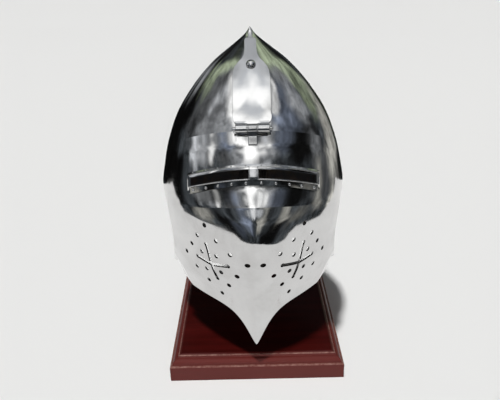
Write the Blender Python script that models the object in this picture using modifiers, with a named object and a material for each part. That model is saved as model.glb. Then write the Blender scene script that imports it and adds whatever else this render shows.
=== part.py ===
"""Bascinet with a brow-hinged visor, standing on a wooden display base.

The object faces -Y, +X is to the right of someone looking at its face, +Z is up,
and the origin is the middle of the base's underside.  Every size is in millimetres
in the tables below and is turned into metres where the meshes are made.
"""
import math

import bmesh
import bpy
from mathutils import Vector

MM = 0.001
NAME = "bascinet_on_display_stand"

# ------------------------------------------------------------------ driving sizes
GAP = 0.3                    # play kept between two pieces that touch

SKULL_WALL = 2.0
SKULL_AROUND = 40            # faces round the skull
# outer surface of the skull, bottom to point: height, half width, front, widest, back
SKULL_ROWS = [
    (97, 104.0, -68, 18, 122),
    (125, 103.0, -75, 18, 127),
    (155, 103.5, -84, 18, 131),
    (185, 106.5, -91, 18, 134),
    (210, 108.5, -98, 18, 134),
    (235, 104.5, -100.5, 18, 131),
    (255, 100.0, -99, 18, 126.5),
    (270, 95.2, -95, 18, 122),
    (285, 89.5, -87.5, 19, 116),
    (298, 83.0, -78, 20, 110),
    (310, 75.2, -67, 21, 103),
    (330, 60.0, -44, 23, 89),
    (350, 40.5, -18, 26, 72),
    (364, 22.3, 3.2, 28, 56.4),
    (372, 12.0, 15.4, 29.5, 45),
    (378, 5.2, 23.8, 30.2, 36.8),
    (382.5, 1.9, 28.4, 30.5, 32.6),
    (385, 0.3, 30.2, 30.5, 30.9),
]
SKULL_LEVELS = [97, 113, 131, 151, 171, 190, 202, 212, 223, 237, 251, 263, 273, 282, 290,
                298, 306, 316, 328, 340, 351, 360, 367, 372.5, 377, 381]
# what the side view loses: the face opening and everything under the lower rim (y, z)
SKULL_CUT = [(-150, 65), (160, 65), (160, 104), (60, 104), (4, 106), (-16, 115), (-33, 126),
             (-46, 137), (-54, 149), (-58, 167), (-58, 210), (-60.5, 233), (-66, 249),
             (-75, 261), (-87, 269), (-102, 272.5), (-150, 273)]

VISOR_WALL = 1.8
VISOR_ARC = math.radians(62)  # part of an ellipse that a rounded row runs through
# outer surface of the visor, top to chin: front y, z; rear edge x, y, z; roundness
VISOR_ROWS = [
    (-82.6, 298.2, 79.0, -47.6, 277.8, 1.0),
    (-93.0, 283.5, 85.2, -46.5, 263.0, 1.0),
    (-99.3, 271.0, 89.5, -45.0, 248.0, 1.0),
    (-103.5, 260.5, 92.8, -44.0, 234.0, 1.0),
    (-108.5, 248.5, 95.4, -43.5, 219.0, 1.0),
    (-120.5, 231.5, 96.8, -43.5, 203.0, 0.92),
    (-127.5, 215.0, 96.0, -43.5, 189.0, 0.78),
    (-131.0, 197.0, 94.7, -43.0, 175.0, 0.63),
    (-126.7, 177.0, 94.0, -41.0, 161.0, 0.54),
    (-120.8, 152.8, 94.3, -38.0, 145.0, 0.49),
    (-114.4, 118.8, 95.4, -32.0, 126.0, 0.33),
    (-110.8, 84.5, 91.8, -29.5, 114.0, 0.28),
    (-107.2, 55.4, 85.0, -33.5, 105.0, 0.26),
]
CREASE_ROW = 5               # the ridge under the sights
CREASE_REACH = 0.45          # how far round the ridge stays sharp
TOP_ROUND = 0.06             # rounds the brow's outer corners
NOTCH_HALF, NOTCH_LOW = 18.2, 293.2  # what the brow leaves free for the hinge
VISOR_STEPS = 2              # mesh rows for each table row
VISOR_SIDE = 15              # mesh columns on each side of the middle
RIM_Z, CHIN_Z, CHIN_WIDE, CHIN_POWER = 97.6, 48.6, 16.1, 1.33
KEEL_SOFT, CHIN_SOFT = 0.035, 0.52   # how far the fold down the middle is rounded, high and low

# sights and their riveted frame; heights are at the middle, and all arch down sideways
ARCH_DROP, ARCH_AT = 15.8, 65.0
SIGHT_LOW, SIGHT_HIGH = 256.2, 266.2
SIGHT_IN, SIGHT_OUT = 4.8, 64.0
FRAME_LOW, FRAME_HIGH, FRAME_HALF = 249.0, 268.6, 66.8
FRAME_SHEET, FRAME_RAISE = 1.5, 2.0   # the strips slope out by this much round the sights
FRAME_WAIST = 1.4            # how much narrower the lower strip is at the middle
FRAME_COLUMNS, FRAME_FOLD = 28, 0.5
RIVET_X = (7.4, 21.2, 34.6, 46.8, 60.2)
RIVET_ROWS = (("lower", 251.8, 1.5, 1.2), ("upper", 267.6, 0.8, 0.7))  # name, z, radius, rise

# breath cross and holes, in the cheek's own plane: forward, up from the cross's centre
CHEEK_AZ, CHEEK_EL = 40.0, -10.0
CROSS_AT = (46.5, -99.9, 157.4)
CROSS_ARMS = (("up", -4.2, 26.5), ("rear", -24.3, 1.5), ("down", 4.2, -21.5), ("front", 25.5, 5.2))
CROSS_SLOT, CROSS_END = 4.0, 2.2
HOLE_RADIUS = 2.75
DIAMOND = {"top": (-1.6, 48.2), "rear": (-43.2, -2.1), "low": (4.1, -41.2), "front": (44.8, 9.7)}
DIAMOND_SIDES = (("top", "rear", 0.0), ("rear", "low", 0.0), ("low", "front", 0.0),
                 ("front", "top", 2.2))
INNER_HOLES = ((-12.8, 11.4), (9.2, 13.5), (-9.4, -9.9), (12.1, -6.8))

# brow hinge
HINGE_Y, HINGE_Z = -84.0, 300.6
KNUCKLE_RADIUS, PIN_RADIUS, PIN_HALF = 4.4, 1.7, 20.5
KNUCKLES = (("left", -17.0, -5.2), ("right", 5.2, 17.0))
LEAF_KNUCKLE = 4.4
LEAF_HALF, LEAF_SHEET, LEAF_END = 4.6, 2.0, 286.0
PLATE_SHEET = 2.0
PLATE_LOW, PLATE_HIGH = 300.6, 376.0
TAB_ROOTS = (304.4, 302.3)   # heights where a knuckle's tab leaves the plate
PLATE_OUTLINE = [(14.5, 301.9), (17.0, 302.6), (18.8, 304.3), (19.5, 306.9), (19.5, 339.5),
                 (18.9, 344.2), (17.0, 348.4), (13.2, 352.4), (9.4, 355.4), (7.3, 358.6),
                 (6.6, 362.4), (6.6, 370.4), (6.0, 372.2), (4.4, 373.0)]
PLATE_FLAT, TONGUE_FLAT = 0.75, 0.15  # share of the skull's roundness that the plate follows
TONGUE_LOW, TONGUE_HIGH = 348.0, 361.0
PLATE_RIVET_Z, PLATE_RIVET_RADIUS, PLATE_RIVET_RISE = 349.8, 5.4, 4.6

# stand: half width and height of the base's edge, underside to top
BASE_EDGE = [(102.0, 0.0), (102.0, 18.8), (101.2, 19.6), (99.4, 19.8), (98.9, 22.0),
             (97.4, 24.2), (95.0, 25.6), (93.2, 26.0), (92.7, 27.6), (91.6, 28.8), (88.6, 30.0)]
BASE_TOP = 30.0
POST_Y, POST_RADIUS, POST_TOP = 28.0, 17.0, 371.6

MATERIALS = {
    "polished_steel": ((0.62, 0.63, 0.64, 1), 1.0, 0.12),
    "mahogany": ((0.16, 0.025, 0.015, 1), 0.0, 0.25),
    "plain_wood": ((0.20, 0.12, 0.07, 1), 0.0, 0.5),
}


# ------------------------------------------------------------------ small helpers
def clear_scene():
    for item in list(bpy.data.objects):
        bpy.data.objects.remove(item, do_unlink=True)


def make_material(name):
    colour, metal, rough = MATERIALS[name]
    mat = bpy.data.materials.new(name)
    mat.use_nodes = True
    shader = mat.node_tree.nodes["Principled BSDF"]
    shader.inputs["Base Color"].default_value = colour
    shader.inputs["Metallic"].default_value = metal
    shader.inputs["Roughness"].default_value = rough
    return mat


def smooth_curve(xs, ys):
    """A curve through the points that never overshoots them."""
    n = len(xs)
    step = [xs[i + 1] - xs[i] for i in range(n - 1)]
    slope = [(ys[i + 1] - ys[i]) / step[i] for i in range(n - 1)]
    tangent = [slope[0]] + [0.0] * (n - 2) + [slope[-1]]
    for i in range(1, n - 1):
        if slope[i - 1] * slope[i] > 0:
            a = 2 * step[i] + step[i - 1]
            b = step[i] + 2 * step[i - 1]
            tangent[i] = (a + b) / (a / slope[i - 1] + b / slope[i])

    def value(x):
        i = 0
        while i < n - 2 and x > xs[i + 1]:
            i += 1
        t = (x - xs[i]) / step[i]
        low = (2 * t ** 3 - 3 * t ** 2 + 1) * ys[i] + (t ** 3 - 2 * t ** 2 + t) * step[i] * tangent[i]
        high = (3 * t ** 2 - 2 * t ** 3) * ys[i + 1] + (t ** 3 - t ** 2) * step[i] * tangent[i + 1]
        return low + high

    return value


def table_curves(rows, keys, first):
    return [smooth_curve(keys, [row[i] for row in rows]) for i in range(first, len(rows[0]))]


def object_from(name, verts, faces, collection, material=None):
    mesh = bpy.data.meshes.new(name)
    mesh.from_pydata([Vector(v) * MM for v in verts], [], faces)
    mesh.update()
    obj = bpy.data.objects.new(name, mesh)
    collection.objects.link(obj)
    if material:
        mesh.materials.append(material)
    return obj


def grid_faces(rows, columns, closed):
    faces = []
    for i in range(rows - 1):
        for j in range(columns if closed else columns - 1):
            k = (j + 1) % columns
            faces.append((i * columns + j, i * columns + k, (i + 1) * columns + k, (i + 1) * columns + j))
    return faces


def face_outwards(obj):
    work = bmesh.new()
    work.from_mesh(obj.data)
    bmesh.ops.recalc_face_normals(work, faces=work.faces)
    work.to_mesh(obj.data)
    work.free()


def thicken(obj, sheet, inwards):
    mod = obj.modifiers.new("wall", "SOLIDIFY")
    mod.thickness = sheet * MM
    mod.offset = -1.0 if inwards else 1.0
    mod.use_even_offset = True
    mod.use_quality_normals = True


def combine(obj, other, operation):
    mod = obj.modifiers.new(operation.lower(), "BOOLEAN")
    mod.operation = operation
    mod.solver = "EXACT"
    mod.object = other


def prism(name, outline, axis, low, high, collection):
    """A flat outline pushed along X or Y; the outline's pairs are the two other axes."""
    count = len(outline)
    verts = []
    for depth in (low, high):
        for a, b in outline:
            verts.append((depth, a, b) if axis == "X" else (a, depth, b))
    faces = [tuple(range(count)), tuple(range(2 * count - 1, count - 1, -1))]
    for i in range(count):
        k = (i + 1) % count
        faces.append((i, i + count, k + count, k))
    obj = object_from(name, verts, faces, collection)
    face_outwards(obj)
    return obj


def turned(name, profile, steps, collection, material=None):
    """A closed solid of revolution about Z; the profile runs up from axis to axis."""
    mesh = bpy.data.meshes.new(name)
    edges = [(i, i + 1) for i in range(len(profile) - 1)]
    mesh.from_pydata([Vector(p) * MM for p in reversed(profile)], edges, [])
    obj = bpy.data.objects.new(name, mesh)
    collection.objects.link(obj)
    mod = obj.modifiers.new("turn", "SCREW")
    mod.steps = steps
    mod.render_steps = steps
    mod.axis = "Z"
    mod.use_merge_vertices = True
    mod.merge_threshold = 0.00001
    if material:
        mesh.materials.append(material)
    return obj


def rod(name, x_low, x_high, radius, steps, collection, material=None):
    """A round bar along X on the hinge's axis."""
    outline = []
    for i in range(steps):
        angle = 2 * math.pi * (i + 0.5) / steps
        outline.append((HINGE_Y + radius * math.cos(angle), HINGE_Z + radius * math.sin(angle)))
    obj = prism(name, outline, "X", x_low, x_high, collection)
    if material:
        obj.data.materials.append(material)
    return obj


# ------------------------------------------------------------------ surfaces
SKULL = table_curves(SKULL_ROWS, [row[0] for row in SKULL_ROWS], 1)


def skull_front(x, z):
    """y of the skull's outer surface in front of (x, z)."""
    half, front, widest, _ = [curve(z) for curve in SKULL]
    return widest - (widest - front) * math.sqrt(max(0.0, 1 - (x / half) ** 2))


def skull_off(x, z, gap):
    """A point at a distance in front of the skull's surface."""
    d = 0.2
    slope_x = (skull_front(x + d, z) - skull_front(x - d, z)) / (2 * d)
    slope_z = (skull_front(x, z + d) - skull_front(x, z - d)) / (2 * d)
    out = Vector((slope_x, -1.0, slope_z)).normalized()
    return Vector((x, skull_front(x, z), z)) + out * gap


def plate_off(x, z):
    """Inner face of the hinge plate, which is hammered flatter than the skull under it."""
    t = min(1.0, max(0.0, (z - TONGUE_LOW) / (TONGUE_HIGH - TONGUE_LOW)))
    share = PLATE_FLAT + (TONGUE_FLAT - PLATE_FLAT) * t * t * (3 - 2 * t)
    return skull_off(share * x, z, GAP) + Vector(((1 - share) * x, 0.0, 0.0))


LAST = len(VISOR_ROWS) - 1
ALL_KEYS = [i / LAST for i in range(LAST + 1)]
VISOR_ALL = table_curves(VISOR_ROWS, ALL_KEYS, 0)
VISOR_UPPER = table_curves(VISOR_ROWS[:CREASE_ROW + 1], ALL_KEYS[:CREASE_ROW + 1], 0)
VISOR_LOWER = table_curves(VISOR_ROWS[CREASE_ROW:], ALL_KEYS[CREASE_ROW:], 0)


def lower_edge(x):
    return RIM_Z - (RIM_Z - CHIN_Z) * math.exp(-(abs(x) / CHIN_WIDE) ** CHIN_POWER)


def visor_point(u, v):
    """Outer surface of the visor: u -1..1 from edge to edge, v 0..1 from brow to chin."""
    side = abs(u)
    v += TOP_ROUND * (1 - v) ** 6 * max(0.0, (side - 0.8) / 0.2) ** 2
    sharp = math.exp(-(side / CREASE_REACH) ** 2)
    kinked = VISOR_UPPER if v <= ALL_KEYS[CREASE_ROW] else VISOR_LOWER
    row = [(1 - sharp) * a(v) + sharp * b(v) for a, b in zip(VISOR_ALL, kinked)]
    front_y, front_z, rear_x, rear_y, rear_z, roundness = row
    arc_x = math.sin(side * VISOR_ARC) / math.sin(VISOR_ARC)
    arc_y = (1 - math.cos(side * VISOR_ARC)) / (1 - math.cos(VISOR_ARC))
    low = min(1.0, max(0.0, (v - 0.55) / 0.3))
    soft = KEEL_SOFT + (CHIN_SOFT - KEEL_SOFT) * low * low * (3 - 2 * low)
    fold = (math.hypot(side, soft) - soft) / (math.hypot(1, soft) - soft)
    across = roundness * arc_x + (1 - roundness) * side
    back = roundness * arc_y + (1 - roundness) * fold
    x = rear_x * across
    y = front_y + (rear_y - front_y) * back
    z = front_z + (rear_z - front_z) * back
    blend = min(1.0, max(0.0, (v - 0.72) / 0.28))
    blend = blend * blend * (3 - 2 * blend)
    corner = (rear_z - RIM_Z) * max(0.0, side - 0.86) / 0.14
    chin = CHIN_Z + (VISOR_ROWS[-1][4] - CHIN_Z) * back
    z += blend * (lower_edge(x) + corner - chin)
    return Vector((math.copysign(x, u), y, z))


def visor_at(x, z):
    """u, v of the visor's surface point with this x and z."""
    u, v = x / 95.0, min(0.98, max(0.02, (295 - z) / 240.0))
    for _ in range(25):
        here = visor_point(u, v)
        miss_x, miss_z = x - here.x, z - here.z
        if abs(miss_x) + abs(miss_z) < 1e-4:
            break
        d = 1e-4
        du = (visor_point(u + d, v) - visor_point(u - d, v)) / (2 * d)
        dv = (visor_point(u, v + d) - visor_point(u, v - d)) / (2 * d)
        det = du.x * dv.z - du.z * dv.x
        u += max(-0.2, min(0.2, (miss_x * dv.z - miss_z * dv.x) / det))
        v += max(-0.1, min(0.1, (du.x * miss_z - du.z * miss_x) / det))
    return u, v


def visor_off(x, z, gap):
    """A point at a distance outside the visor's surface, and the outward direction."""
    u, v = visor_at(x, z)
    d = 1e-3
    du = visor_point(u + d, v) - visor_point(u - d, v)
    dv = visor_point(u, v + d) - visor_point(u, v - d)
    out = dv.cross(du).normalized()
    if out.y > 0:
        out = -out
    return visor_point(u, v) + out * gap, out


def arch(x):
    return ARCH_DROP * (x / ARCH_AT) ** 2


def frame_off(x, height, gap):
    """A point of the sight frame, whose strips slope out to a lip round each sight."""
    below = max(0.0, (SIGHT_LOW - height) / (SIGHT_LOW - FRAME_LOW))
    above = max(0.0, (height - SIGHT_HIGH) / (FRAME_HIGH - SIGHT_HIGH))
    aside = max(0.0, (abs(x) - SIGHT_OUT) / (FRAME_HALF - SIGHT_OUT))
    waist = FRAME_WAIST * (1 - (x / FRAME_HALF) ** 2) * below
    raised = FRAME_RAISE * max(0.0, 1 - max(below, above, aside))
    return visor_off(x, height + waist - arch(x), gap + raised)


def frame_out(x, height):
    """The way out from the frame's own sloping face."""
    d = 0.3
    aside = frame_off(x + d, height, GAP)[0] - frame_off(x - d, height, GAP)[0]
    up = frame_off(x, height + d, GAP)[0] - frame_off(x, height - d, GAP)[0]
    return aside.cross(up).normalized()


# ------------------------------------------------------------------ pieces
def make_skull(parts, cutters, steel):
    verts = []
    for z in SKULL_LEVELS:
        half, front, widest, back = [curve(z) for curve in SKULL]
        for j in range(SKULL_AROUND):
            angle = 2 * math.pi * j / SKULL_AROUND
            s, c = math.sin(angle), math.cos(angle)
            y = widest - (widest - front) * c if c > 0 else widest - (back - widest) * c
            verts.append((half * s, y, z))
    faces = grid_faces(len(SKULL_LEVELS), SKULL_AROUND, True)
    tip = len(verts)
    verts.append((0.0, SKULL_ROWS[-1][3], SKULL_ROWS[-1][0]))
    start = (len(SKULL_LEVELS) - 1) * SKULL_AROUND
    for j in range(SKULL_AROUND):
        faces.append((start + j, start + (j + 1) % SKULL_AROUND, tip))
    skull = object_from("skull", verts, faces, parts, steel)
    face_outwards(skull)
    thicken(skull, SKULL_WALL, True)
    cutter = prism("cut_face_and_rim", SKULL_CUT, "X", -130, 130, cutters)
    combine(skull, cutter, "DIFFERENCE")
    return skull


def cross_outline():
    """Four slots meeting at the centre, each ending in a rounded end."""
    points = []
    arms = [(a, math.atan2(u, f), math.hypot(f, u)) for a, f, u in CROSS_ARMS]
    order = sorted(arms, key=lambda arm: arm[1])
    for i, (_, angle, length) in enumerate(order):
        after = order[(i + 1) % 4][1] + (2 * math.pi if i == 3 else 0)
        half = CROSS_SLOT / 2
        along = (math.cos(angle), math.sin(angle))
        left = (-along[1], along[0])
        for side, reach in ((-1, length - 5), (-1.5, length - 3), (-1, length), (1, length),
                            (1.5, length - 3), (1, length - 5)):
            points.append((along[0] * reach + left[0] * side * half * CROSS_END / 2,
                           along[1] * reach + left[1] * side * half * CROSS_END / 2))
        middle = (angle + after) / 2
        reach = half / math.sin((after - angle) / 2)
        points.append((math.cos(middle) * reach, math.sin(middle) * reach))
    return points


def diamond_holes():
    centres = []
    for start, end, sag in DIAMOND_SIDES:
        a, b = DIAMOND[start], DIAMOND[end]
        length = math.hypot(b[0] - a[0], b[1] - a[1])
        inwards = (-(b[1] - a[1]) / length, (b[0] - a[0]) / length)
        for i in range(3):
            t = i / 3.0
            push = sag if i else 0.0
            centres.append((a[0] + (b[0] - a[0]) * t + inwards[0] * push,
                            a[1] + (b[1] - a[1]) * t + inwards[1] * push))
    return centres + list(INNER_HOLES)


def cheek_frame(side):
    az, el = math.radians(CHEEK_AZ), math.radians(CHEEK_EL)
    out = Vector((side * math.sin(az) * math.cos(el), -math.cos(az) * math.cos(el), math.sin(el)))
    forward = Vector((-side * math.cos(az), -math.sin(az), 0.0))
    up = Vector((-side * math.sin(az) * math.sin(el), math.cos(az) * math.sin(el), math.cos(el)))
    centre = Vector((side * CROSS_AT[0], CROSS_AT[1], CROSS_AT[2]))
    return centre, forward, up, out


def breath_cutter(side, cutters):
    """All the openings of one cheek as one set of pegs standing square to the cheek."""
    centre, forward, up, out = cheek_frame(side)
    outlines = [cross_outline()]
    for f, u in diamond_holes():
        ring = []
        for k in range(8):
            angle = 2 * math.pi * (k + 0.5) / 8
            ring.append((f + HOLE_RADIUS * math.cos(angle), u + HOLE_RADIUS * math.sin(angle)))
        outlines.append(ring)
    verts, faces = [], []
    for outline in outlines:
        start, count = len(verts), len(outline)
        for depth in (-26, 20):
            for f, u in outline:
                verts.append(centre + forward * f + up * u + out * depth)
        faces.append(tuple(range(start, start + count)))
        faces.append(tuple(range(start + 2 * count - 1, start + count - 1, -1)))
        for i in range(count):
            k = (i + 1) % count
            faces.append((start + i, start + i + count, start + k + count, start + k))
    name = "cut_breaths_right" if side > 0 else "cut_breaths_left"
    obj = object_from(name, verts, faces, cutters)
    face_outwards(obj)
    return obj


def sight_cutter(name, side, grow, cutters):
    low, high = [], []
    for i in range(9):
        x = side * (SIGHT_IN - grow + (SIGHT_OUT - SIGHT_IN + 2 * grow) * i / 8)
        low.append((x, SIGHT_LOW - grow - arch(x)))
        high.append((x, SIGHT_HIGH + grow - arch(x)))
    return prism(name, low + high[::-1], "Y", -125, -55, cutters)


def make_visor(parts, cutters, steel):
    verts = []
    rows = LAST * VISOR_STEPS + 1
    columns = 2 * VISOR_SIDE + 1
    for i in range(rows):
        for j in range(columns):
            verts.append(visor_point(j / VISOR_SIDE - 1.0, i / (rows - 1)))
    visor = object_from("visor_shell", verts, grid_faces(rows, columns, False), parts, steel)
    point_out(visor)
    thicken(visor, VISOR_WALL, True)
    for side, word in ((-1, "left"), (1, "right")):
        combine(visor, sight_cutter("cut_shell_sight_" + word, side, 0.8, cutters), "DIFFERENCE")
        combine(visor, breath_cutter(side, cutters), "DIFFERENCE")
    notch = [(-NOTCH_HALF, NOTCH_LOW), (NOTCH_HALF, NOTCH_LOW), (NOTCH_HALF, HINGE_Z), (-NOTCH_HALF, HINGE_Z)]
    combine(visor, prism("cut_hinge_notch", notch, "Y", -125, -55, cutters), "DIFFERENCE")
    return visor


def point_out(obj):
    """Turns an open sheet's faces so that its middle face looks to the front."""
    mesh = obj.data
    middle = mesh.polygons[len(mesh.polygons) // 2]
    total = sum(face.normal.y * face.area for face in mesh.polygons)
    if total > 0 or middle.normal.y > 0.5:
        mesh.flip_normals()


def make_sight_frame(parts, cutters, steel):
    lip = SIGHT_OUT + FRAME_FOLD
    across = [lip * (2.0 * j / FRAME_COLUMNS - 1.0) for j in range(FRAME_COLUMNS + 1)]
    across = [-FRAME_HALF] + across + [FRAME_HALF]
    heights = (FRAME_LOW, SIGHT_LOW - FRAME_FOLD, SIGHT_HIGH + FRAME_FOLD, FRAME_HIGH)
    verts = [frame_off(x, height, GAP)[0] for height in heights for x in across]
    faces = grid_faces(len(heights), len(across), False)
    frame = object_from("sight_frame", verts, faces, parts, steel)
    point_out(frame)
    thicken(frame, FRAME_SHEET, False)
    for side, word in ((-1, "left"), (1, "right")):
        combine(frame, sight_cutter("cut_frame_sight_" + word, side, 0.0, cutters), "DIFFERENCE")
    return frame


def place_dome(name, radius, rise, steps, point, out, parts, steel):
    """A low dome head whose flat back faces the sheet."""
    profile = [(0.0, 0.0, 0.0), (radius, 0.0, 0.0)]
    for i in range(1, 3):
        angle = math.pi / 2 * i / 3
        profile.append((radius * math.cos(angle), 0.0, rise * math.sin(angle)))
    profile.append((0.0, 0.0, rise))
    dome = turned(name, profile, steps, parts, steel)
    dome.rotation_mode = "QUATERNION"
    dome.rotation_quaternion = Vector((0, 0, 1)).rotation_difference(out)
    dome.location = point * MM
    return dome


def make_sight_rivets(parts, steel):
    made = []
    for row, height, radius, rise in RIVET_ROWS:
        for side, word in ((-1, "left"), (1, "right")):
            for i, x in enumerate(RIVET_X):
                out = frame_out(side * x, height)
                point = frame_off(side * x, height, GAP)[0] + out * (FRAME_SHEET + GAP)
                name = "sight_rivet_%s_%s_%d" % (row, word, i + 1)
                made.append(place_dome(name, radius, rise, 8, point, out, parts, steel))
    return made


def strap(name, points, half, x_middle, sheet, collection):
    """A strip of sheet along a side-view line (y, z), thickened on its left-hand side."""
    count = len(points)
    outline = list(points)
    for i in range(count - 1, -1, -1):
        a, b = points[max(0, i - 1)], points[min(count - 1, i + 1)]
        length = math.hypot(b[0] - a[0], b[1] - a[1])
        left = (-(b[1] - a[1]) / length, (b[0] - a[0]) / length)
        outline.append((points[i][0] + left[0] * sheet, points[i][1] + left[1] * sheet))
    return prism(name, outline, "X", x_middle - half, x_middle + half, collection)


def make_plate(parts, cutters, steel):
    rows, columns = 24, 8
    verts = []
    for i in range(rows + 1):
        z = PLATE_LOW + (PLATE_HIGH - PLATE_LOW) * i / rows
        half = 20.5 if z < 357 else 8.0
        for j in range(columns + 1):
            verts.append(plate_off(half * (2.0 * j / columns - 1.0), z))
    plate = object_from("hinge_plate", verts, grid_faces(rows + 1, columns + 1, False), parts, steel)
    point_out(plate)
    thicken(plate, PLATE_SHEET, False)
    outline = PLATE_OUTLINE + [(-x, z) for x, z in reversed(PLATE_OUTLINE)]
    combine(plate, prism("keep_plate", outline, "Y", -110, 60, cutters), "INTERSECT")
    for word, low, high in KNUCKLES:
        barrel = rod("add_knuckle_" + word, low, high, KNUCKLE_RADIUS, 16, cutters)
        under = [skull_off(0, z, GAP + 0.2) for z in TAB_ROOTS]
        line = [(p.y, p.z) for p in under] + [(HINGE_Y + 2.6, HINGE_Z - 0.4)]
        tab = strap("add_tab_" + word, line[::-1], (high - low) / 2, (low + high) / 2, 1.7, cutters)
        combine(plate, tab, "UNION")
        combine(plate, barrel, "UNION")
    combine(plate, rod("cut_plate_pin", -40, 40, PIN_RADIUS + GAP, 12, cutters), "DIFFERENCE")
    return plate


def make_leaf(parts, cutters, steel):
    leaf = rod("visor_leaf", -LEAF_KNUCKLE, LEAF_KNUCKLE, KNUCKLE_RADIUS, 16, parts, steel)
    line = []
    for z in (LEAF_END, 288.5, 291.0, 293.5):
        point, _ = visor_off(0.0, z, GAP)
        line.append((point.y, point.z))
    line.append((HINGE_Y - 2.2, HINGE_Z - 1.0))
    tab = strap("add_leaf_tab", line, LEAF_HALF, 0.0, LEAF_SHEET, cutters)
    combine(leaf, tab, "UNION")
    combine(leaf, rod("cut_leaf_pin", -40, 40, PIN_RADIUS + GAP, 12, cutters), "DIFFERENCE")
    return leaf


def make_base(parts, wood):
    profile = [(0.0, 0.0, 0.0)] + [(h, h, z) for h, z in BASE_EDGE] + [(0.0, 0.0, BASE_TOP)]
    return turned("display_base", profile, 4, parts, wood)


def make_post(parts, wood):
    profile = [(0.0, 0.0, BASE_TOP + GAP), (POST_RADIUS, 0.0, BASE_TOP + GAP)]
    for i in range(7):
        angle = math.pi / 2 * i / 7
        profile.append((POST_RADIUS * math.cos(angle), 0.0,
                        POST_TOP - POST_RADIUS + POST_RADIUS * math.sin(angle)))
    profile.append((0.0, 0.0, POST_TOP))
    post = turned("post", profile, 24, parts, wood)
    post.location = Vector((0.0, POST_Y, 0.0)) * MM
    return post


# ------------------------------------------------------------------ assembly
def main():
    clear_scene()
    parts = bpy.data.collections.new(NAME)
    cutters = bpy.data.collections.new("cutters")
    bpy.context.scene.collection.children.link(parts)
    bpy.context.scene.collection.children.link(cutters)
    steel = make_material("polished_steel")
    mahogany = make_material("mahogany")
    plain_wood = make_material("plain_wood")

    make_skull(parts, cutters, steel)
    make_plate(parts, cutters, steel)
    make_plate_rivet(parts, steel)
    rod("hinge_pin", -PIN_HALF, PIN_HALF, PIN_RADIUS, 12, parts, steel)
    make_base(parts, mahogany)
    make_post(parts, plain_wood)

    moving = [make_visor(parts, cutters, steel), make_sight_frame(parts, cutters, steel)]
    moving += make_sight_rivets(parts, steel)
    moving.append(make_leaf(parts, cutters, steel))
    pivot = bpy.data.objects.new("visor_hinge_axis", None)
    parts.objects.link(pivot)
    pivot.location = Vector((0.0, HINGE_Y, HINGE_Z)) * MM
    bpy.context.view_layer.update()
    for item in moving:
        item.parent = pivot
        item.matrix_parent_inverse = pivot.matrix_world.inverted()

    for item in cutters.objects:
        item.display_type = "WIRE"
        item.hide_render = True
    bpy.context.view_layer.update()


def make_plate_rivet(parts, steel):
    point = skull_off(0.0, PLATE_RIVET_Z, 2 * GAP + PLATE_SHEET)
    ahead = skull_off(0.0, PLATE_RIVET_Z, 2 * GAP + PLATE_SHEET + 1.0)
    out = (ahead - point).normalized()
    return place_dome("plate_rivet", PLATE_RIVET_RADIUS, PLATE_RIVET_RISE, 16, point, out,
                      parts, steel)


main()
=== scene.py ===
import math

import bmesh
import bpy
from mathutils import Matrix, Vector


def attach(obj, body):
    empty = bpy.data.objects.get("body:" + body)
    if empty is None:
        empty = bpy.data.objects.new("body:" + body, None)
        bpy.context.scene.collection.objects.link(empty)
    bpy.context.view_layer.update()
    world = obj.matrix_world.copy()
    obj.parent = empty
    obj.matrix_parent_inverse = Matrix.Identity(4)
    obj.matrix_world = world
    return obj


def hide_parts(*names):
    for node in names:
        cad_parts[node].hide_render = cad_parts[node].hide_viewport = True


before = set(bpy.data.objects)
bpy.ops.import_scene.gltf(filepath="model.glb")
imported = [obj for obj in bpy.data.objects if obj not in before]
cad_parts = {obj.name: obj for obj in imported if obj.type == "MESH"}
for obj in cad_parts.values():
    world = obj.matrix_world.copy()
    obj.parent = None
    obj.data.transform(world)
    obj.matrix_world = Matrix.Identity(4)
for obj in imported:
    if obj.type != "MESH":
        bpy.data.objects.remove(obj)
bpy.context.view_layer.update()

MM = 0.001
HELMET, VISOR = "helmet_and_stand", "visor"

# ---------- sizes, in millimetres
# the gap between pieces that touch
GAP = 0.3
# edges that turn more than this, in degrees, are eased
EASE_ANGLE = 45

SKULL_WALL = 2.0
# outer surface of the skull: height, half width, front, widest, back
SKULL_ROWS = [
    (97, 104.0, -68, 18, 122),
    (125, 103.0, -75, 18, 127),
    (155, 103.5, -84, 18, 131),
    (185, 106.5, -91, 18, 134),
    (210, 108.5, -98, 18, 134),
    (235, 104.5, -100.5, 18, 131),
    (255, 100.0, -99, 18, 126.5),
    (270, 95.2, -95, 18, 122),
    (285, 89.5, -87.5, 19, 116),
    (298, 83.0, -78, 20, 110),
    (310, 75.2, -67, 21, 103),
    (330, 60.0, -44, 23, 89),
    (350, 40.5, -18, 26, 72),
    (364, 22.3, 3.2, 28, 56.4),
    (372, 12.0, 15.4, 29.5, 45),
    (378, 5.2, 23.8, 30.2, 36.8),
    (382.5, 1.9, 28.4, 30.5, 32.6),
    (385, 0.3, 30.2, 30.5, 30.9),
]
# what the skull loses, seen from the side: the face opening and all under its rim (y, z)
SKULL_CUT = [(-150, 65), (160, 65), (160, 104), (60, 104), (4, 106), (-16, 115), (-33, 126),
             (-46, 137), (-54, 149), (-58, 167), (-58, 210), (-60.5, 233), (-66, 249),
             (-75, 261), (-87, 269), (-102, 272.5), (-150, 273)]
# half the width of its cutter, which is wider than the skull
CUT_HALF = 130
# its mesh: columns round it, rows up it, and how closely the rows gather at the point
SKULL_COLUMNS, SKULL_LINES, SKULL_GATHER = 168, 100, 1.35
SKULL_EASE = 0.45

VISOR_WALL = 1.8
# the part of an ellipse that a rounded row runs through
VISOR_ARC = math.radians(62)
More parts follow.
